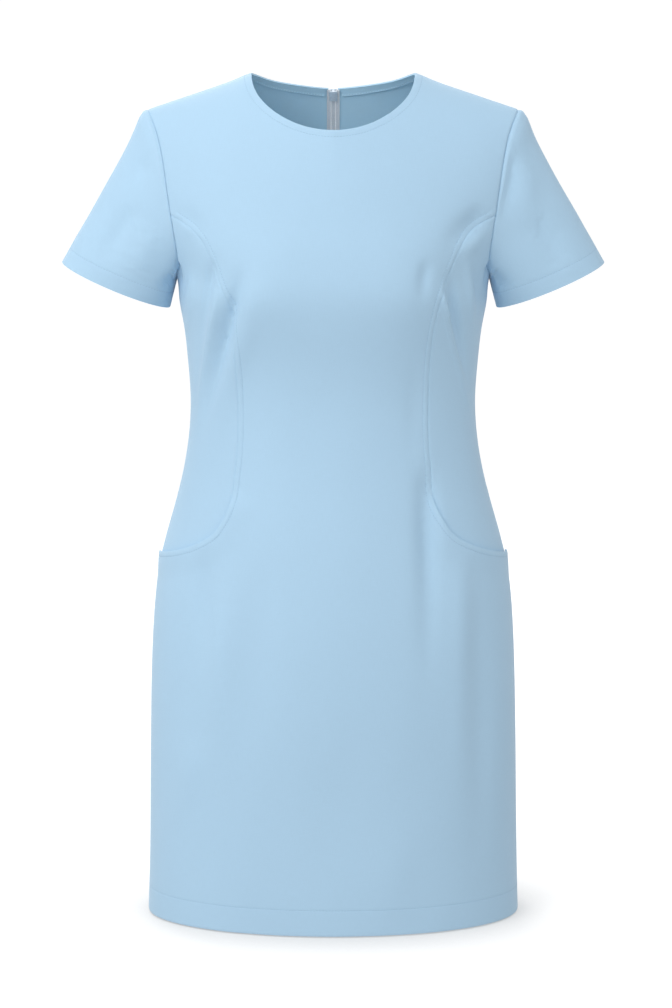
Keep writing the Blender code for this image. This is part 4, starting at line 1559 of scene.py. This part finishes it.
def neck_band() -> tuple[bpy.types.Object, tuple[np.ndarray, np.ndarray]]:
    """Makes the band inside the neck, from one side of the zip round the front to the other.

    Returns:
        The band, and the points and normals of the stitches along its lower edge.
    """
    front, rear = neck_line(FRONT, 0.0), neck_line(BACK, ZIP_STITCH_X)
    depths = np.array([0.1, 1.2, 2.6, 5.0, 7.4, 8.8, 9.5, BAND_DEPTH])
    outer, normals = [], []
    for depth in depths:
        row, row_normals = [], []
        for sign in (-1, 1):
            half, half_normals = [], []
            for face, line in ((FRONT, front), (BACK, rear[::-1])):
                side = 1 if face is FRONT else -1
                flat = draw_in(line, face, depth, side) * (sign, 1)
                plain, out = raised(face, flat), form_normals(face, *raise_flat(flat))
                half.append(settle_neck(plain) + out * cloth_out(face, plain)[:, None])
                half_normals.append(out)
            points, out = np.concatenate(half), np.concatenate(half_normals)
            meets = len(front)
            points = np.delete(points, meets, axis=0)
            out = np.delete(out, meets, axis=0)
            row.append(points if sign > 0 else points[:0:-1])
            row_normals.append(out if sign > 0 else out[:0:-1])
        outer.append(np.concatenate(row))
        normals.append(np.concatenate(row_normals))
    outer, normals = np.array(outer), np.array(normals)
    top = outer - normals * (WALL + BAND_GAP)
    edge = np.exp(-(((BAND_DEPTH - depths) / 0.9) ** 2))[:, None, None] * 0.35
    inner = outer - normals * (WALL + BAND_GAP + BAND_WALL + edge)
    across, down = np.broadcast_arrays(lengths_along(outer[0])[None], -depths[:, None])
    threads = np.stack([across, down], axis=2) * MM
    band = grid_wall("cloth_neck_band", top, inner, threads, False)
    return band, (inner[5], -normals[5])


def back_strip(
    name: str,
    edges: tuple[float, float],
    columns: int,
    drops: np.ndarray,
    outer: float,
    under: Callable[[np.ndarray], np.ndarray],
) -> bpy.types.Object:
    """A narrow strip down the back.

    Args:
        name: The piece's name.
        edges: How far across its first and last edges lie.
        columns: How many columns of points it has.
        drops: The drops of its rows.
        outer: How far out from the form its outer face is.
        under: Gives the same of its inner face at a distance across.

    Returns:
        The new object.
    """
    x, drop = np.broadcast_arrays(np.linspace(*edges, columns)[None], drops[:, None])
    angle = angle_of(x, drop).ravel()
    plain = form_points(BACK, angle, drop.ravel()).reshape(*x.shape, 3)
    out = form_normals(BACK, angle, drop.ravel()).reshape(plain.shape)
    threads = np.stack([x, -drop], axis=2) * MM
    return grid_wall(name, plain + out * outer, plain + out * under(x)[..., None], threads, False)


@dataclass(frozen=True)
class Thread:
    """Sewing thread, laid as separate stitches along lines.

    Attributes:
        length: The length of a stitch that shows.
        pitch: From one stitch to the next.
        radius: The thread's radius.
        sides: How many sides the thread has.
    """

    length: float = 2.2
    pitch: float = 3.3
    radius: float = 0.24
    sides: int = 5

    def sew(self, name: str, lines: list[tuple[np.ndarray, np.ndarray]]) -> bpy.types.Object:
        """Makes the stitches of one piece as one mesh.

        Args:
            name: The new piece's name.
            lines: Points and normals along each row, in millimetres.

        Returns:
            The new object, at the origin.
        """
        half = self.length / 2
        rings = [  # along, size, lift
            (-half, 0.5, -0.22),
            (-half * 0.66, 1.0, 0.06),
            (half * 0.66, 1.0, 0.06),
            (half, 0.5, -0.22),
        ]
        turn = np.arange(self.sides) * 2 * math.pi / self.sides
        points, faces = [], []
        for line, normal in lines:
            walked = lengths_along(line)
            for middle in np.arange(self.pitch, walked[-1] - self.pitch / 2, self.pitch):
                places = [middle + ring[0] for ring in rings]
                at = np.stack([np.interp(places, walked, line[:, i]) for i in range(3)], axis=1)
                up = unit(np.array([np.interp(middle, walked, normal[:, i]) for i in range(3)]))
                along = unit(at[-1] - at[0])
                across = unit(np.cross(up, along))
                faces += tube_faces(len(points), len(rings), self.sides)
                for (_, size, lift), centre in zip(rings, at):
                    for angle in turn:
                        spoke = across * math.cos(angle) + up * math.sin(angle)
                        points.append(centre + up * lift + spoke * self.radius * size)
        return finish_mesh(new_object(name, np.array(points) * MM, faces))


@dataclass
class Zip:
    """The zip down the back: tapes, coil, slider and pull.

    Attributes:
        pitch: From one tooth to the next on the same side.
        tooth: Points along a tooth: across, down the zip and out.
        tooth_radius: The radius of the nylon that it is bent from.
        tooth_sides: How many sides that has.
        tooth_in: How far the teeth lie under the outer face of the chain.
        chain_end: The drop where the teeth end.
        chain_out: How far out from the form the chain's outer face is.
        chain_in: The same of its inner face.
        rib: The height of the ribs on the inner face.
        rib_pitch: From one rib to the next.
        chain_half: Half the width of the ribbed strip.
        slider_length: The slider's length.
        slider_half: Half its width.
        slider_narrow: How much narrower its lower end is than its top.
        pull_length: The pull tab's length.
        pull_axis_out: How far out from the form the pull turns.
    """

    pitch: float = 1.3
    tooth: tuple = (
        (2.5, 0, -0.42),
        (1.3, 0.1, 0.18),
        (0.2, 0.16, 0.26),
        (-0.55, 0.1, 0.02),
        (-0.2, -0.1, -0.5),
    )
    tooth_radius: float = 0.36
    tooth_sides: int = 6
    tooth_in: float = 0.62
    chain_end: float = 506.0
    chain_out: float = -0.7
    chain_in: float = -2.9
    rib: float = 0.16
    rib_pitch: float = 1.3
    chain_half: float = 2.6
    slider_length: float = 12.5
    slider_half: float = 4.3
    slider_narrow: float = 0.86
    pull_length: float = 23.0
    pull_axis_out: float = 2.3

    def slider_frame(self) -> Matrix:
        """The slider's own axes: x across, y down the zip, z out of the cloth; in metres.

        Returns:
            The turn and the move from those axes to the dress's.
        """
        at = np.array([0.0]), np.array([SLIDER_DROP])
        normal = Vector(form_normals(BACK, *at)[0])
        down = normal.cross(Vector((1, 0, 0))).normalized()
        down = -down if down.z > 0 else down
        across = Vector((1, 0, 0))
        if across.cross(down).dot(normal) < 0:
            across = -across
        axes = Matrix((across, down, normal)).transposed().to_4x4()
        return Matrix.Translation(Vector(form_points(BACK, *at)[0]) * MM) @ axes

    def tapes(self) -> list[bpy.types.Object]:
        """Makes the two tapes that show beside the coil.

        Returns:
            The left tape and the right one.
        """
        upper = np.linspace(BACK_NECK_DROP + 1.2, 60, 16)
        drops = np.concatenate([upper, np.linspace(66, ZIP_END_DROP, 80)])
        made = []
        for name, sign in (("left", -1), ("right", 1)):
            edges = sign * TAPE_INNER, sign * TAPE_OUTER
            made.append(back_strip(f"zip_tape_{name}_woven", edges, 9, drops, TAPE_OUT, self.tape_under))
        return made

    def tape_under(self, x: np.ndarray) -> np.ndarray:
        """How far out the tapes' inner face is: they thicken along the edge by the coil."""
        return TAPE_OUT - TAPE_WALL - TAPE_RIM * np.exp(-(((np.abs(x) - TAPE_INNER - 0.3) / 0.4) ** 2))

    def chain_top(self) -> float:
        """The drop where the coil comes out of the slider."""
        end = Vector((0, self.slider_length / 2 + 0.3, self.chain_out)) * MM
        return -(self.slider_frame() @ end).z / MM

    def backing(self) -> bpy.types.Object:
        """Makes the ribbed edges of the tapes behind the coil, as seen from inside.

        Returns:
            The new object.
        """
        drops = np.linspace(self.chain_top() + 0.4, ZIP_END_DROP - 2, 112)
        edges = -self.chain_half, self.chain_half
        return back_strip("zip_chain_backing", edges, 33, drops, self.chain_in + 0.75, self.ribs)

    def ribs(self, x: np.ndarray) -> np.ndarray:
        """How far out the ribbed inner face of the chain is."""
        return self.chain_in + self.rib * np.cos(2 * math.pi * x / self.rib_pitch)

    def coil(self) -> bpy.types.Object:
        """Makes the two rows of interlocked coil as one mesh of bent teeth.

        Returns:
            The new object.
        """
        drops = np.arange(self.chain_top() + 0.9, self.chain_end - 0.6, self.pitch)
        turns = np.arange(self.tooth_sides) * 2 * math.pi / self.tooth_sides
        points, faces = [], []
        for sign, shift in ((1, 0.0), (-1, self.pitch / 2)):
            at = np.zeros(len(drops)), drops + shift
            for centre, normal in zip(form_points(BACK, *at), form_normals(BACK, *at)):
                down = np.cross(normal, (1.0, 0, 0))
                down = -down if down[2] > 0 else down
                axes = np.array([(1.0, 0, 0), down, normal])
                line = centre + (np.array(self.tooth) * (sign, 1, 1)) @ axes
                line = line + normal * (self.chain_out - self.tooth_in)
                faces += tube_faces(len(points), len(line), self.tooth_sides)
                for i, place in enumerate(line):
                    along = unit(line[min(i + 1, len(line) - 1)] - line[max(i - 1, 0)])
                    side = unit(np.cross(along, down))
                    for turn in turns:
                        spoke = down * math.cos(turn) + side * math.sin(turn)
                        points.append(place + self.tooth_radius * spoke)
        return finish_mesh(new_object("zip_coil", np.array(points) * MM, faces))

    def block(self, low: tuple, high: tuple, bevel: float, narrow: float = 1.0) -> bpy.types.Object:
        """A block between two corners in the slider's axes, with softened edges.

        Args:
            low: Its low corner, in millimetres.
            high: Its high corner.
            bevel: How far its edges are softened.
            narrow: How much narrower its lower end is than its top.

        Returns:
            The new block, still in the slider's own axes.
        """
        deselect()
        middle = [(a + b) / 2 * MM for a, b in zip(low, high)]
        bpy.ops.mesh.primitive_cube_add(size=1, location=middle)
        block = bpy.context.object
        block.scale = [(b - a) * MM for a, b in zip(low, high)]
        bpy.ops.object.transform_apply(location=True, rotation=True, scale=True)
        bpy.ops.object.mode_set(mode="EDIT")
        bpy.ops.mesh.select_all(action="DESELECT")
        made = bmesh.from_edit_mesh(block.data)
        made.select_mode = {"FACE"}
        for face in made.faces:
            face.select_set(face.normal.y > 0.9)
        made.select_flush_mode()
        bmesh.update_edit_mesh(block.data)
        bpy.ops.transform.resize(value=(narrow, 1, 1), center_override=(0, high[1] * MM, 0))
        bpy.ops.mesh.select_all(action="SELECT")
        bpy.ops.mesh.bevel(offset=bevel * MM, segments=3, affect="EDGES")
        bpy.ops.object.mode_set(mode="OBJECT")
        return block

    def joined(self, name: str, blocks: list, place: Matrix) -> bpy.types.Object:
        """Joins blocks into one piece and puts it in its place.

        Args:
            name: The piece's name.
            blocks: The blocks, in the slider's axes.
            place: Where those axes are.

        Returns:
            The new piece.
        """
        deselect()
        for block in blocks:
            block.select_set(True)
        bpy.context.view_layer.objects.active = blocks[0]
        if len(blocks) > 1:
            bpy.ops.object.join()
        piece = blocks[0]
        piece.name = name
        piece.data.name = name
        piece.data.transform(place)
        return finish_mesh(piece)

    def cut(self, piece: bpy.types.Object, cutter: bpy.types.Object) -> None:
        """Cuts one block out of another.

        Args:
            piece: The block that is cut.
            cutter: The block that is taken out of it, and removed.
        """
        modifier = piece.modifiers.new("cut", "BOOLEAN")
        modifier.operation = "DIFFERENCE"
        modifier.object = cutter
        deselect()
        piece.select_set(True)
        bpy.context.view_layer.objects.active = piece
        bpy.ops.object.modifier_apply(modifier=modifier.name)
        bpy.data.objects.remove(cutter)

    def slider(self) -> bpy.types.Object:
        """Makes the slider: two plates with turned rims on a post, and the pull's bridge.

        Returns:
            The new object.
        """
        half, side = self.slider_length / 2, self.slider_half
        parts = [
            self.block((-side, -half, low), (side, half, high), 0.34, self.slider_narrow)
            for low, high in ((0.45, 1.4), (-4.9, -4.0))
        ]
        parts.append(self.block((-1.5, -half + 0.8, -4.3), (1.5, half - 7.0, 0.8), 0.3))
        for sign in (-1, 1):
            inner, outer = sorted((sign * (side - 0.85), sign * (side - 0.05)))
            for low, high in ((-0.15, 0.7), (-4.3, -3.6)):
                parts.append(self.block((inner, -half + 1.6, low), (outer, half - 0.3, high), 0.25))
        parts.append(self.block((-0.95, -4.4, 3.2), (0.95, 4.4, 4.1), 0.3))
        for y in (-4.4, 3.3):
            parts.append(self.block((-0.95, y, 1.1), (0.95, y + 1.1, 3.7), 0.3))
        return self.joined("zip_slider_enamel", parts, self.slider_frame())

    def pull(self) -> bpy.types.Object:
        """Makes the pull tab: a flat tongue with a window at its bar and a slot near its end.

        Returns:
            The new object.
        """
        tongue = self.block((-2.6, -0.5, -0.5), (2.6, self.pull_length - 0.4, 0.5), 0.28, 0.86)
        self.cut(tongue, self.block((-1.6, 0.55, -2.0), (1.6, 6.5, 2.0), 0.5))
        self.cut(tongue, self.block((-0.9, 16.0, -2.0), (0.9, 19.5, 2.0), 0.6))
        self.cut(tongue, self.block((-1.5, 8.2, 0.3), (1.5, 14.6, 1.2), 0.2))
        place = self.slider_frame() @ Matrix.Translation((0, 0, self.pull_axis_out * MM))
        return self.joined("zip_pull_enamel", [tongue], place)


class Nodes:
    """A short way to lay out a material's nodes."""

    def __init__(self, name: str) -> None:
        """Starts a material with its shader alone.

        Args:
            name: The material's name.
        """
        self.material = bpy.data.materials.new(name)
        self.material.use_nodes = True
        self.tree = self.material.node_tree
        self.shader = self.tree.nodes["Principled BSDF"]

    def add(self, kind: str, **settings: object) -> bpy.types.Node:
        """A new node of a kind, with its settings.

        Args:
            kind: The node's type.
            settings: Its properties by name.

        Returns:
            The node.
        """
        node = self.tree.nodes.new(kind)
        for key, value in settings.items():
            setattr(node, key, value)
        return node

    def link(self, source: bpy.types.NodeSocket, target: bpy.types.NodeSocket) -> None:
        """Joins two sockets."""
        self.tree.links.new(source, target)

    def math(self, operation: str, first: object, second: object = None) -> bpy.types.NodeSocket:
        """The result of a sum on sockets or numbers.

        Args:
            operation: The sum's name.
            first: A socket or a number.
            second: Another, where it takes two.

        Returns:
            The socket with the result.
        """
        node = self.add("ShaderNodeMath", operation=operation)
        for socket, value in zip(node.inputs, (first, second)):
            if isinstance(value, bpy.types.NodeSocket):
                self.link(value, socket)
            elif value is not None:
                socket.default_value = value
        return node.outputs[0]

    def noise(self, place: bpy.types.NodeSocket, scale: tuple, detail: float = 3.0) -> bpy.types.NodeSocket:
        """Soft noise at a place, drawn out by its scale on each axis.

        Args:
            place: The socket with the place.
            scale: The scale on each axis.
            detail: How fine it gets.

        Returns:
            The socket with the noise.
        """
        mapping = self.add("ShaderNodeMapping")
        mapping.inputs["Scale"].default_value = scale
        self.link(place, mapping.inputs["Vector"])
        texture = self.add("ShaderNodeTexNoise")
        texture.inputs["Scale"].default_value = 1.0
        texture.inputs["Detail"].default_value = detail
        self.link(mapping.outputs[0], texture.inputs["Vector"])
        return texture.outputs["Fac"]

    def ramp(self, share: bpy.types.NodeSocket, stops: tuple) -> bpy.types.NodeSocket:
        """Colours along a share, from pairs of place and colour.

        Args:
            share: The socket with the share.
            stops: Two or more pairs, in order.

        Returns:
            The socket with the colour.
        """
        node = self.add("ShaderNodeValToRGB")
        elements = node.color_ramp.elements
        for element, (place, colour) in zip(elements, stops[:2]):
            element.position, element.color = place, (*colour, 1)
        for place, colour in stops[2:]:
            elements.new(place).color = (*colour, 1)
        self.link(share, node.inputs[0])
        return node.outputs[0]

    def bump(self, height: bpy.types.NodeSocket, distance: float, strength: float = 1.0) -> None:
        """Gives the shader a bump of a height.

        Args:
            height: The socket with the height.
            distance: The height's size in metres.
            strength: How much of it shows.
        """
        node = self.add("ShaderNodeBump")
        node.inputs["Strength"].default_value = strength
        node.inputs["Distance"].default_value = distance
        self.link(height, node.inputs["Height"])
        self.link(node.outputs[0], self.shader.inputs["Normal"])

    def set(self, **values: object) -> None:
        """Sets the shader's own sockets by name, with underscores for spaces."""
        for key, value in values.items():
            self.shader.inputs[key.replace("_", " ")].default_value = value


def shaded(colour: tuple, share: float) -> tuple:
    """A colour made darker or lighter by a share, and at most white."""
    return tuple(min(part * share, 1.0) for part in colour)


@dataclass(frozen=True)
class ClothFinish:
    """A fine plain-weave cloth.

    Attributes:
        name: The material's name.
        colour: Its linear colour.
        inside: The paler colour of its inner face: painted light, standing in for the light that comes
            through the thin cloth.
        pitch: The distance between threads, in metres.
        sheen: How much nap it shows.
    """

    name: str
    colour: tuple
    inside: tuple
    pitch: float = 0.00055
    sheen: float = 0.25

    def make(self) -> bpy.types.Material:
        """Builds the material.

        Returns:
            The material.
        """
        nodes = Nodes(self.name)
        threads = nodes.add("ShaderNodeUVMap", uv_map="threads").outputs[0]
        parts = nodes.add("ShaderNodeSeparateXYZ")
        nodes.link(threads, parts.inputs[0])
        turn = 2 * math.pi / self.pitch
        warp = nodes.math("SINE", nodes.math("MULTIPLY", parts.outputs[0], turn))
        weft = nodes.math("SINE", nodes.math("MULTIPLY", parts.outputs[1], turn))
        weave = nodes.math("MULTIPLY", warp, weft)
        slub = nodes.noise(threads, (2600.0, 90.0, 1.0))
        cross = nodes.noise(threads, (80.0, 2600.0, 1.0))
        yarn = nodes.math("ADD", slub, cross)
        solid = nodes.add("ShaderNodeTexCoord").outputs["Object"]
        cloud = nodes.noise(solid, (9.0, 9.0, 5.0), 2.0)
        tint = nodes.math("ADD", nodes.math("MULTIPLY", yarn, 0.35), nodes.math("MULTIPLY", cloud, 0.3))
        # The inner face takes the paler inside colour: painted light for the light that comes through the
        # thin cloth.
        faces = nodes.add("ShaderNodeMix", data_type="RGBA")
        inner = nodes.add("ShaderNodeAttribute", attribute_name="inner")
        nodes.link(inner.outputs["Fac"], faces.inputs["Factor"])
        for colour, socket in ((self.colour, faces.inputs[6]), (self.inside, faces.inputs[7])):
            stops = ((0.3, shaded(colour, 0.955)), (0.7, shaded(colour, 1.035)))
            nodes.link(nodes.ramp(tint, stops), socket)
        nodes.link(faces.outputs[2], nodes.shader.inputs["Base Color"])
        rough = nodes.math("MULTIPLY_ADD", yarn, 0.08)
        rough.node.inputs[2].default_value = 0.6
        nodes.link(rough, nodes.shader.inputs["Roughness"])
        height = nodes.math("ADD", nodes.math("MULTIPLY", weave, 0.5), nodes.math("MULTIPLY", yarn, 0.7))
        nodes.bump(height, 0.00006, 0.6)
        nodes.set(Sheen_Weight=self.sheen, Sheen_Roughness=0.45, Specular_IOR_Level=0.32)
        nodes.shader.inputs["Sheen Tint"].default_value = (0.86, 0.94, 1.0, 1.0)
        return nodes.material


@dataclass(frozen=True)
class ThreadFinish:
    """Twisted sewing thread."""

    name: str
    colour: tuple

    def make(self) -> bpy.types.Material:
        """Builds the material.

        Returns:
            The material.
        """
        nodes = Nodes(self.name)
        place = nodes.add("ShaderNodeTexCoord").outputs["Object"]
        twist = nodes.noise(place, (2600.0, 2600.0, 2600.0), 1.0)
        stops = ((0.3, shaded(self.colour, 0.86)), (0.7, self.colour))
        nodes.link(nodes.ramp(twist, stops), nodes.shader.inputs["Base Color"])
        nodes.bump(twist, 0.00008, 0.5)
        nodes.set(Roughness=0.5, Specular_IOR_Level=0.4, Sheen_Weight=0.15)
        return nodes.material


@dataclass(frozen=True)
class TapeFinish:
    """Woven zip tape, with ribs along its length."""

    name: str
    colour: tuple
    rib: float = 0.0006

    def make(self) -> bpy.types.Material:
        """Builds the material.

        Returns:
            The material.
        """
        nodes = Nodes(self.name)
        threads = nodes.add("ShaderNodeUVMap", uv_map="threads").outputs[0]
        parts = nodes.add("ShaderNodeSeparateXYZ")
        nodes.link(threads, parts.inputs[0])
        turn = 2 * math.pi / self.rib
        ribs = nodes.math("SINE", nodes.math("MULTIPLY", parts.outputs[0], turn))
        picks = nodes.math("SINE", nodes.math("MULTIPLY", parts.outputs[1], turn * 1.7))
        weave = nodes.math("ADD", nodes.math("MULTIPLY", ribs, 0.6), nodes.math("MULTIPLY", picks, 0.3))
        yarn = nodes.noise(threads, (3000.0, 400.0, 1.0))
        tint = nodes.math("ADD", nodes.math("MULTIPLY", weave, 0.2), yarn)
        stops = ((0.2, shaded(self.colour, 0.8)), (0.85, self.colour))
        nodes.link(nodes.ramp(tint, stops), nodes.shader.inputs["Base Color"])
        nodes.bump(weave, 0.00007, 0.7)
        nodes.set(Roughness=0.68, Sheen_Weight=0.15, Specular_IOR_Level=0.35)
        return nodes.material


@dataclass(frozen=True)
class HardFinish:
    """Moulded nylon or enamelled metal, slightly uneven and rubbed."""

    name: str
    colour: tuple
    roughness: float
    metallic: float = 0.0
    coat: float = 0.0

    def make(self) -> bpy.types.Material:
        """Builds the material.

        Returns:
            The material.
        """
        nodes = Nodes(self.name)
        place = nodes.add("ShaderNodeTexCoord").outputs["Object"]
        wear = nodes.noise(place, (700.0, 700.0, 700.0), 4.0)
        stops = ((0.42, self.colour), (0.7, shaded(self.colour, 1.12)))
        nodes.link(nodes.ramp(wear, stops), nodes.shader.inputs["Base Color"])
        rough = nodes.math("MULTIPLY_ADD", wear, 0.22)
        rough.node.inputs[2].default_value = self.roughness - 0.11
        nodes.link(rough, nodes.shader.inputs["Roughness"])
        nodes.bump(wear, 0.00003, 0.5)
        nodes.set(Metallic=self.metallic, Coat_Weight=self.coat, Coat_Roughness=0.2)
        return nodes.material


def dress_in(piece: bpy.types.Object, material: bpy.types.Material) -> None:
    """Gives a piece one material all over."""
    piece.data.materials.clear()
    piece.data.materials.append(material)


@dataclass(frozen=True)
class Cut:
    """A panel's cut, as far as it shows: flat width, length and area, in metres."""

    width: float
    length: float
    area: float


CLOTH_BLUE = (0.407, 0.610, 0.788)
# Painted light: the inner faces are painted paler than the outside, for the light that comes through the
# thin cloth.
CLOTH_INSIDE_PAINTED_LIGHT = (0.54, 0.80, 0.96)
# Painted light: the neck band is the dress's cloth, painted paler so that the inside of the neck looks lit.
BAND_BLUE_PAINTED_LIGHT = (0.43, 0.66, 0.86)
# Partly painted shade: the thread's own blue, made darker than the cloth as the shade of its needle holes.
THREAD_BLUE_WITH_PAINTED_SHADE = (0.33, 0.51, 0.69)
TAPE_GREY = (0.88, 0.91, 0.95)
COIL_GREY = (0.78, 0.81, 0.86)
ENAMEL = (0.74, 0.82, 0.89)


@dataclass
class Dress:
    """The whole dress, piece by piece."""

    def __post_init__(self) -> None:
        """Makes the finishes once."""
        self.cloth = ClothFinish("blue_uniform_cloth", CLOTH_BLUE, CLOTH_INSIDE_PAINTED_LIGHT).make()
        self.band_cloth = ClothFinish("neck_band_cloth", BAND_BLUE_PAINTED_LIGHT, CLOTH_INSIDE_PAINTED_LIGHT).make()
        self.thread = ThreadFinish("blue_sewing_thread", THREAD_BLUE_WITH_PAINTED_SHADE).make()
        self.tape = TapeFinish("grey_zip_tape", TAPE_GREY).make()
        self.nylon = HardFinish("grey_coil_nylon", COIL_GREY, 0.42).make()
        self.enamel = HardFinish("slider_enamel", ENAMEL, 0.34, 0.35, 0.4).make()

    def settle(
        self,
        piece: bpy.types.Object,
        material: bpy.types.Material,
        slot: str,
        replaced: tuple = (),
        body: str = "dress",
    ) -> None:
        """Gives a piece its finish and its body, and hides the nodes that it stands for.

        Args:
            piece: The piece.
            material: Its finish.
            slot: Not used.
            replaced: The nodes that it stands for.
            body: The body that it moves with.
        """
        dress_in(piece, material)
        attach(piece, body)
        if replaced:
            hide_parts(*replaced)
        LOG.info("%s: %d faces", piece.name, len(piece.data.polygons))

    def panels(self) -> None:
        """Makes the front, side fronts and backs, with their stitches."""
        plans = [(front_panel(), "front_panel")]
        for name, sign in (("left", -1), ("right", 1)):
            plans.append((side_front(name, sign), f"side_front_{name}"))
            plans.append((back(name, sign), f"back_{name}"))
        for panel, node in plans:
            piece = panel.build()
            self.settle(piece, self.cloth, "cloth", (node,))
            lines = panel.stitch_lines()
            if lines:
                thread = Thread().sew(panel.name.replace("cloth_", "stitches_"), lines)
                self.settle(thread, self.thread, "cloth")

    def sleeves(self) -> None:
        """Makes the sleeves and the stitches of their hems."""
        for name, sign in (("left", -1), ("right", 1)):
            piece, line = Sleeve(name, sign).build()
            self.settle(piece, self.cloth, "cloth", (f"sleeve_{name}",))
            thread = Thread().sew(f"stitches_sleeve_{name}", [line])
            self.settle(thread, self.thread, "cloth")

    def band(self) -> None:
        """Makes the neck band and its stitches."""
        piece, line = neck_band()
        self.settle(piece, self.band_cloth, "neck_band_cloth", ("neck_band",))
        thread = Thread(radius=0.16).sew("stitches_neck_band", [line])
        self.settle(thread, self.thread, "neck_band_cloth")

    def fastening(self) -> None:
        """Makes the zip."""
        zip_parts = Zip()
        for piece, name in zip(zip_parts.tapes(), ("left", "right")):
            self.settle(piece, self.tape, "zip_tape", (f"zip_tape_{name}",))
        self.settle(zip_parts.backing(), self.tape, "zip_tape")
        self.settle(zip_parts.coil(), self.nylon, "zip_chain", ("zip_chain",))
        self.settle(zip_parts.slider(), self.enamel, "zip_slider", ("zip_slider",))
        self.settle(zip_parts.pull(), self.enamel, "zip_slider", ("zip_pull",), "pull")


LAMP_AIM = (0, 0, -0.4)
LAMPS = (  # name, place and side in metres, watts
    ("key_light", (-2.1, -2.5, 1.8), 2.2, 58),
    ("fill_light", (2.4, -2.6, 0.5), 2.2, 13),
    ("front_light", (0.0, -4.0, 0.3), 2.4, 14),
    ("top_light", (-0.5, -0.9, 2.6), 2.2, 12),
    ("side_light", (-3.2, -1.0, 0.6), 2.2, 15),
)


@dataclass(frozen=True)
class Studio:
    """The floor, the light and the camera.

    Attributes:
        floor_drop: How far below the neck points the floor is, just under the hem.
        floor_radius: The radius of its flat part.
        floor_bend: The radius that it bends up into its wall by.
        floor_turns: How many sides it has.
        glow: How strongly it shines by itself where nothing is near, so that it is as pale all over; near
            the dress this glow is dimmed into a painted contact shadow.
        camera_at: Where the camera is.
        camera_down: How far down it looks, in degrees.
        lens: Its focal length in millimetres.
        sky: How brightly white light comes from all round.
    """

    floor_drop: float = 0.9188
    floor_radius: float = 4.4
    floor_bend: float = 1.6
    floor_turns: int = 72
    glow: float = 0.74
    camera_at: tuple = (0.003, -2.8, -0.157)
    camera_down: float = 6.3
    lens: float = 91.46
    sky: float = 0.56

    def floor(self) -> None:
        """Makes the pale floor, which rises into a wall and a roof all round, far off, with a painted
        shadow where the dress stands near it.
        """
        flat, bend = self.floor_radius, self.floor_bend
        profile = [(0.01, 0.0), (flat, 0.0)]
        for turn in np.linspace(0.1, math.pi / 2, 14):
            profile.append((flat + bend * math.sin(turn), bend - bend * math.cos(turn)))
        profile += [(flat + bend, 4.5), (4.6, 6.6), (0.01, 7.4)]
        points = []
        for radius, height in profile:
            for turn in np.arange(self.floor_turns) * 2 * math.pi / self.floor_turns:
                at = radius * math.cos(turn), radius * math.sin(turn), height - self.floor_drop
                points.append(at)
        faces = grid_faces(len(profile), self.floor_turns, True) + [list(range(self.floor_turns))]
        floor = new_object("studio_floor", np.array(points), faces)
        for face in floor.data.polygons:
            face.use_smooth = True
        nodes = Nodes("pale_floor")
        place = nodes.add("ShaderNodeTexCoord").outputs["Object"]
        grain = nodes.noise(place, (3.0, 3.0, 3.0))
        greys = nodes.ramp(grain, ((0.3, (0.41, 0.41, 0.41)), (0.7, (0.43, 0.43, 0.43))))
        nodes.link(greys, nodes.shader.inputs["Base Color"])
        nodes.set(Roughness=0.9, Specular_IOR_Level=0.1)
        # Painted shadow: ambient occlusion dims the floor's glow near the dress, giving a contact shadow
        # under the hem.
        shade = nodes.add("ShaderNodeAmbientOcclusion", samples=8)
        shade.inputs["Distance"].default_value = 0.12
        glow = nodes.math("MULTIPLY", shade.outputs["AO"], self.glow)
        nodes.link(glow, nodes.shader.inputs["Emission Strength"])
        nodes.shader.inputs["Emission Color"].default_value = (1, 1, 1, 1)
        dress_in(floor, nodes.material)
        floor.visible_diffuse = False
        floor.visible_shadow = False

    def lamp(self, name: str, at: tuple, towards: tuple, size: float, power: float) -> None:
        """A soft square light.

        Args:
            name: Its name.
            at: Where it is, in metres.
            towards: The point that it faces.
            size: The length of its side.
            power: Its power in watts.
        """
        light = bpy.data.lights.new(name, "AREA")
        light.size, light.energy = size, power
        lamp = bpy.data.objects.new(name, light)
        lamp.location = at
        lamp.rotation_euler = (Vector(towards) - Vector(at)).to_track_quat("-Z", "Y").to_euler()
        bpy.context.collection.objects.link(lamp)

    def light(self) -> None:
        """Lights the dress softly, mostly from the upper left."""
        for name, at, size, power in LAMPS:
            self.lamp(name, at, LAMP_AIM, size, power)
        self.lamp("back_light", (-0.6, 2.4, 1.6), (0, 0.1, -0.4), 2.0, 42)
        world = bpy.data.worlds.new("studio")
        bpy.context.scene.world = world
        world.use_nodes = True
        sky = world.node_tree.nodes["Background"]
        sky.inputs["Color"].default_value = (1, 1, 1, 1)
        sky.inputs["Strength"].default_value = self.sky
        bpy.context.scene.view_settings.view_transform = "Standard"
        bpy.context.scene.view_settings.look = "None"

    def camera(self) -> None:
        """Puts the camera in front, a little above the dress's middle, looking slightly down."""
        data = bpy.data.cameras.new("camera")
        data.lens = self.lens
        camera = bpy.data.objects.new("camera", data)
        camera.location = self.camera_at
        camera.rotation_euler = (math.radians(90 - self.camera_down), 0, 0)
        bpy.context.collection.objects.link(camera)
        bpy.context.scene.camera = camera


def main() -> None:
    """Builds the dress and its studio."""
    logging.basicConfig(level=logging.INFO, format="%(name)s: %(message)s")
    studio = Studio()
    studio.camera()
    dress = Dress()
    dress.panels()
    dress.sleeves()
    dress.band()
    dress.fastening()
    studio.floor()
    studio.light()


if __name__ == "__main__":
    main()
